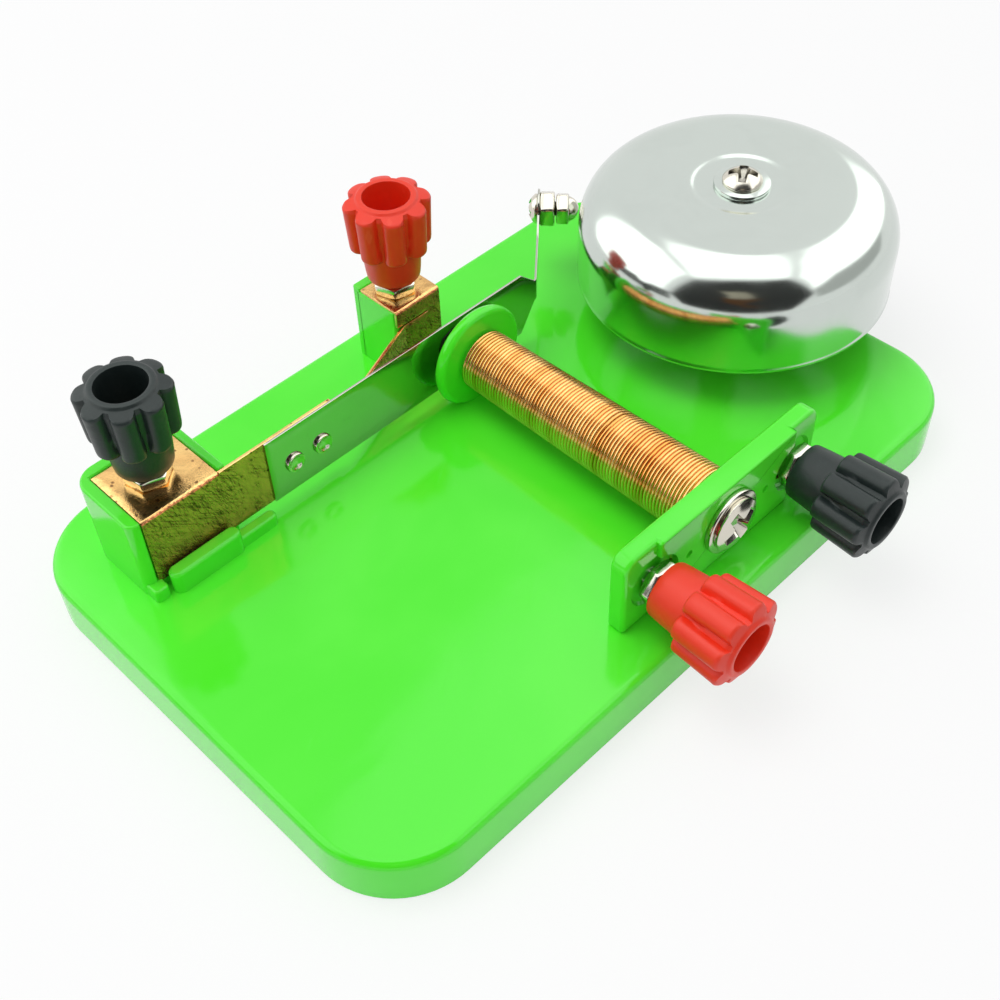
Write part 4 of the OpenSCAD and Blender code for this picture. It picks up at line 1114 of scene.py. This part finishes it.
# how a post stands, its depth and its gap: on a stand, or on the end plate
ON_STAND = (upright, 18.4, 1.0)
ON_PLATE = (facing_front, 3.65, 0.12)
POSTS = {
    "left": Post((-51.6, 28.3, 25.2), *ON_STAND, 12, 10, "black_knob"),
    "rear": Post((5.9, 34.5, 25.2), *ON_STAND, 18, 13, "red_knob"),
    "coil_red": Post((-8.2, -38.55, 17.55), *ON_PLATE, 24, -16, "red_knob"),
    "coil_black": Post((25.6, -38.55, 17.55), *ON_PLATE, 25, -8, "black_knob"),
}


class BELL_OT_posts(Operator):
    """Makes the four threaded studs and their nuts"""
    bl_idname = "bell.posts"
    bl_label = "Studs and nuts"

    def execute(self, context):
        s = context.scene.bell_posts
        nut, nut_tall, stud = mm(s, "nut", "nut_tall", "stud")
        into_cap = 6.8  # how far a stud reaches into its cap
        for name, post in POSTS.items():
            place, low = post.place(), -post.depth - 0.1
            shape = Shape().lathe([(0, low), (1.9, low), (1.9, 1.0), (0, 1.0)], 32, place)
            thread(shape, stud / 2, 0.9, nut_tall + post.gap + into_cap, 0.7, place)
            cross_head(shape, 4.0, 2.4, raised(place, -post.depth, True))
            label = name.capitalize()
            shape.piece(label + "_threaded_stud", "stand", "nickel", [name + "_post_stud"])
            hex_nut(Shape(), nut, nut_tall, stud / 2 + 0.1, post.place(post.nut_turn)).piece(
                label + "_hex_nut", "stand", "nickel", [name + "_post_nut"])
        return {"FINISHED"}


class BELL_OT_caps(Operator):
    """Moulds the four lobed caps round their brass inserts"""
    bl_idname = "bell.caps"
    bl_label = "Caps"

    def execute(self, context):
        s = context.scene.bell_posts
        tall, across, mouth, nut_tall = mm(s, "tall", "across", "mouth", "nut_tall")
        lobes, lobe_r, lobe_wide, power, lean = s.lobes, 1.65, 1.78, 2.6, 0.5
        # where the lobes begin, radius of the sleeve below them, and of the webs between them at the top
        lobe_z, sleeve, web_top, blend = 6.3, 5.28, 6.05, 0.6
        hole, socket = 3.02, 7.0  # radius of the hole for the insert, and the floor of the open socket
        top = tall - 0.5
        steps = lobes * 22
        lip, throat = mouth / 2 + 0.95, mouth / 2

        def outline(z):
            """Radius of the lobed body at each step round it."""
            share = min(1.0, max(0.0, (z - lobe_z) / (top - lobe_z)))
            centre = across / 2 - lobe_r - lean * (1 - share)
            web = lerp(sleeve, web_top, share)
            found = []
            for j in range(steps):
                off = (j / steps * lobes + 0.5) % 1.0 - 0.5
                a = off * 2 * pi / lobes
                aside = abs(centre * sin(a)) / lobe_wide
                lobe = 0.0
                if aside < 1:
                    lobe = centre * cos(a) + lobe_r * (1 - aside ** power) ** (1 / power)
                h = max(blend - abs(lobe - web), 0.0) / blend
                found.append(min(max(lobe, web) + h * h * blend / 4, across / 2))
            return found

        def ring(radii, z):
            heights = z if isinstance(z, list) else [z] * steps
            return [polar(r, 2 * pi * j / steps, h) for j, (r, h) in enumerate(zip(radii, heights))]

        def plain(*profile):
            """Round rings at pairs of radius and height."""
            return [ring([r] * steps, z) for r, z in profile]

        rings = plain((hole, 5.9), (hole, 0.12), (3.2, 0.0), (4.4, 0.0), (4.62, 0.06), (4.74, 0.3))
        rings += plain(*((lerp(4.76, sleeve, t), lobe_z * t) for t in (0.25, 0.5, 0.75, 0.9)))
        low = outline(lobe_z)
        rings += [ring([lerp(sleeve, r, t) - 0.05 for r in low], lobe_z) for t in (0.0, 0.35, 0.7)]
        rings += [ring([max(r - inset, sleeve - 0.02) for r in low], lobe_z + rise)
                  for inset, rise in ((0.4, 0.0), (0.18, 0.1), (0.05, 0.28), (0.0, 0.5))]
        rings += [ring(outline(z), z) for z in spread(lobe_z + 0.8, top - 1.3, 0.9)]
        last = outline(top - 0.7)
        rings += [ring(last, top - 0.98), ring([r - 0.05 for r in last], top - 0.82)]
        for t in (0.0, 0.2, 0.45, 0.7, 0.9):
            radii = [lerp(r - 0.22, lip + 0.3, t) for r in last]
            rings.append(ring(radii, [top - 0.7 + 0.72 * (1 - max(0.0, (r - lip - 0.3) / 2.2)) ** 0.8
                                      for r in radii]))
        rings += plain((lip + 0.27, top + 0.08), (lip + 0.1, top + 0.38), (lip - 0.08, top + 0.5),
                       (throat + 0.22, top + 0.5), (throat + 0.05, top + 0.42), (throat, top + 0.2))
        rings += plain(*((throat, z) for z in spread(7.3, top, 1.5)[::-1][1:]))
        rings += plain((throat - 0.1, 7.08), (throat - 0.3, socket), (2.35, socket), (2.2, 6.85),
                       (2.2, 5.95))
        for name, post in POSTS.items():
            Shape().loft(rings, raised(post.place(post.cap_turn), nut_tall + post.gap), loop=True).piece(
                name.capitalize() + "_lobed_cap", name + "_knob_cap", post.slot, [name + "_knob"], sharp=45)
            refinish(name + "_knob_insert", "brass_insert")
        return {"FINISHED"}


# Cards that only show in gloss: name, brightness (None stands for the stage's own), tint, distance from
# the gong in metres, and the directions in which their corners lie
CARD_WHITE = (0.98, 1.0, 0.98)
CARDS = (
    ("Window_left", None, CARD_WHITE, 0.9, (
        (-0.16, 0.98, 0.12), (0.1, 0.63, 0.77), (-0.03, 0.46, 0.887), (-0.3, 0.3, 0.9),
        (-0.52, 0.1, 0.85), (-0.88, 0.15, 0.45), (-0.98, 0.17, 0.05), (-0.9, 0.45, 0.01),
        (-0.67, 0.74, 0.0), (-0.3, 0.95, 0.0))),
    ("Window_above", None, CARD_WHITE, 0.9, (
        (0.02, 0.42, 0.906), (0.3, 0.47, 0.83), (0.5, 0.42, 0.76), (0.58, 0.3, 0.755),
        (0.52, 0.18, 0.83), (0.35, -0.12, 0.93), (0.078, -0.5, 0.862), (-0.22, -0.233, 0.947),
        (-0.558, 0.018, 0.829), (-0.25, 0.25, 0.93))),
    ("Window_right", None, CARD_WHITE, 0.9, (
        (0.62, 0.22, 0.755), (0.8, 0.36, 0.48), (0.99, 0.12, 0.003), (0.938, -0.249, 0.242),
        (0.773, -0.506, 0.382), (0.401, -0.728, 0.556), (0.072, -0.887, 0.457), (0.13, -0.56, 0.82),
        (0.41, -0.13, 0.9))),
    ("Dark_card", 0.035, CARD_WHITE, 0.86, (
        (-0.969, 0.06, 0.224), (-0.6, -0.02, 0.8), (-0.27, -0.29, 0.92), (0.03, -0.54, 0.84),
        (0.036, -0.945, 0.326), (-0.26, -0.96, 0.0), (-0.7, -0.7, 0.0), (-0.99, -0.1, 0.0))),
    ("Warm_card", 0.42, (1.0, 0.9, 0.7), 0.82, (
        (-0.8, -0.32, 0.5), (-0.7, -0.3, 0.64), (-0.47, -0.54, 0.7), (-0.5, -0.66, 0.5),
        (-0.76, -0.46, 0.4))),
    ("Brown_card", 0.1, (1.0, 0.42, 0.16), 0.83, (
        (-0.9, -0.25, 0.3), (-0.8, -0.3, 0.44), (-0.36, -0.8, 0.48), (-0.1, -0.92, 0.38),
        (-0.3, -0.93, 0.16), (-0.72, -0.62, 0.22))),
    ("Grey_card", 0.55, CARD_WHITE, 0.86, (
        (0.9, -0.3, 0.24), (0.773, -0.52, 0.35), (0.4, -0.75, 0.52), (0.08, -0.92, 0.4),
        (0.06, -0.98, 0.18), (0.5, -0.85, 0.12), (0.85, -0.5, 0.08))),
    ("Low_card", 0.14, CARD_WHITE, 0.86, (
        (-0.99, 0.05, 0.02), (-0.96, 0.08, 0.24), (-0.86, 0.45, 0.21), (-0.66, 0.72, 0.12),
        (-0.7, 0.71, 0.0))),
)


class BELL_OT_stage(Operator):
    """Sets up the floor, the light and the camera"""
    bl_idname = "bell.stage"
    bl_label = "Studio"

    def execute(self, context):
        s = context.scene.bell_stage
        scene = context.scene
        scene.view_settings.view_transform = "Standard"
        # the camera
        a, e, r = s.azimuth, s.elevation, s.roll
        back = Vector((sin(a) * cos(e), -cos(a) * cos(e), sin(e)))
        right = Vector((cos(a), sin(a), 0))
        up = back.cross(right)
        across = right * cos(r) + up * sin(r)
        upward = up * cos(r) - right * sin(r)
        spot = Vector((-1.78, 1.56, 0)) * MM + back * s.distance
        camera = link("Camera", bpy.data.cameras.new("Camera"))
        camera.data.lens, camera.data.sensor_width, camera.data.clip_start = s.lens, 36, 0.01
        camera.matrix_world = Matrix((across, upward, back)).transposed().to_4x4()
        camera.matrix_world.translation = spot
        scene.camera = camera
        # the surroundings: white where they are seen, else a soft light that grows towards the zenith
        world = bpy.data.worlds.new("Studio")
        world.use_nodes = True
        scene.world = world
        f = Finish.of(world)
        height = f.node("ShaderNodeSeparateXYZ", {0: f.node("ShaderNodeTexCoord")}, 2)
        low, high = [f.light("ShaderNodeBackground", (0.97, 0.98, 1.0), level) for level in (s.fill, s.sky)]
        soft = f.node("ShaderNodeMixShader", {0: f.step(height, 0.05, 0.75), 1: low, 2: high})
        white = f.light("ShaderNodeBackground", (1, 1, 1), 1.0)
        f.show(f.node("ShaderNodeMixShader", {0: self.seen(f), 1: soft, 2: white}), "ShaderNodeOutputWorld")
        # the floor keeps a faint shadow round the bell, and is plain white further off
        f = Finish("Studio_floor")
        tone = f.mix(0.04 * f.cloud(300, 4, 0.6), context.scene.bell_tints.floor, (0.84, 0.84, 0.84))
        matt = f.node("ShaderNodeBsdfDiffuse", {"Color": tone})
        glow = f.light("ShaderNodeEmission", (1, 1, 1), 1.0)
        away = f.node("ShaderNodeVectorMath", {0: f.place()}, 1, operation="LENGTH")
        plain = f.step(away, 0.13, 0.65, s.floor_white, 1.0)
        f.show(f.node("ShaderNodeMixShader", {0: plain * self.seen(f), 1: matt, 2: glow}))
        radius, sides, below = 3.0, 64, -0.00008
        rings = [[polar(r, tau * j / sides, below) for j in range(sides)]
                 for r in (radius * 0.02, radius * 0.3, radius * 0.6, radius)]
        disc = Shape().loft(rings, caps=False)
        floor = self.surface("Floor", disc.verts, disc.faces + [tuple(range(sides))], f.material)
        # the cards stand round the gong, and show only in gloss
        centre = Vector((0.058, 0, 0.035))
        for name, strength, tint, distance, edge in CARDS:
            f = Finish(name)
            f.show(f.light("ShaderNodeEmission", tint, s.window if strength is None else strength))
            corners = [Vector(d).normalized() * distance for d in edge]
            corners.append(sum(corners, Vector()).normalized() * distance)
            n = len(edge)
            card = self.surface(name, [centre + v for v in corners], [(i, (i + 1) % n, n) for i in range(n)],
                                f.material)
            card.visible_camera = card.visible_diffuse = card.visible_shadow = False
        # the key lamp faces the bell and gives it its shadow
        data = bpy.data.lights.new("Key", "AREA")
        data.energy, data.size, data.color = s.key, 0.5, (1.0, 0.99, 0.97)
        lamp = link("Key", data)
        lamp.visible_glossy = False
        lamp.location = (-0.20, 0.20, 0.84)
        lamp.rotation_euler = lamp.location.to_track_quat("Z", "Y").to_euler()
        return {"FINISHED"}

    @staticmethod
    def seen(f):
        """1 for camera, glossy and transmission rays."""
        rays = [f.node("ShaderNodeLightPath", out=out)
                for out in ("Is Camera Ray", "Is Glossy Ray", "Is Transmission Ray")]
        return rays[0] + rays[1] + rays[2]

    @staticmethod
    def surface(name, verts, faces, material):
        """A piece of the studio, in metres."""
        data = bpy.data.meshes.new(name)
        data.from_pydata([tuple(v) for v in verts], [], faces)
        data.materials.append(material)
        return link(name, data)


# ---------------------------------------------------------------- panel and registration

GROUPS = (("bell_tray", TraySizes), ("bell_magnet", MagnetSizes), ("bell_armature", ArmatureSizes),
          ("bell_gong", GongSizes), ("bell_posts", PostSizes), ("bell_tints", Tints),
          ("bell_stage", StageSettings))
OPERATORS = (BELL_OT_stage, BELL_OT_tray, BELL_OT_former, BELL_OT_winding, BELL_OT_core, BELL_OT_brackets,
             BELL_OT_armature, BELL_OT_gong, BELL_OT_posts, BELL_OT_caps)


class BELL_PT_sidebar(Panel):
    """Lists the bell's operators with their sizes and colours"""
    bl_idname = "BELL_PT_sidebar"
    bl_label = "Electric bell"
    bl_space_type = "VIEW_3D"
    bl_region_type = "UI"
    bl_category = "Bell"

    def draw(self, context):
        for operator in OPERATORS:
            self.layout.operator(operator.bl_idname)
        for name, group in GROUPS:
            box = self.layout.box()
            box.label(text=group.__doc__)
            for field in group.__annotations__:
                box.prop(getattr(context.scene, name), field)


def register():
    for _, group in GROUPS:
        bpy.utils.register_class(group)
    for made in (*OPERATORS, BELL_PT_sidebar):
        bpy.utils.register_class(made)
    for name, group in GROUPS:
        setattr(bpy.types.Scene, name, PointerProperty(type=group))


def unregister():
    for name, _ in GROUPS:
        delattr(bpy.types.Scene, name)
    for made in (BELL_PT_sidebar, *OPERATORS[::-1]):
        bpy.utils.unregister_class(made)
    for _, group in GROUPS:
        bpy.utils.unregister_class(group)


def main():
    register()
    for operator in OPERATORS:
        group, name = operator.bl_idname.split(".")
        if getattr(getattr(bpy.ops, group), name)() != {"FINISHED"}:
            raise RuntimeError(operator.bl_label + " was not made")


if __name__ == "__main__":
    main()
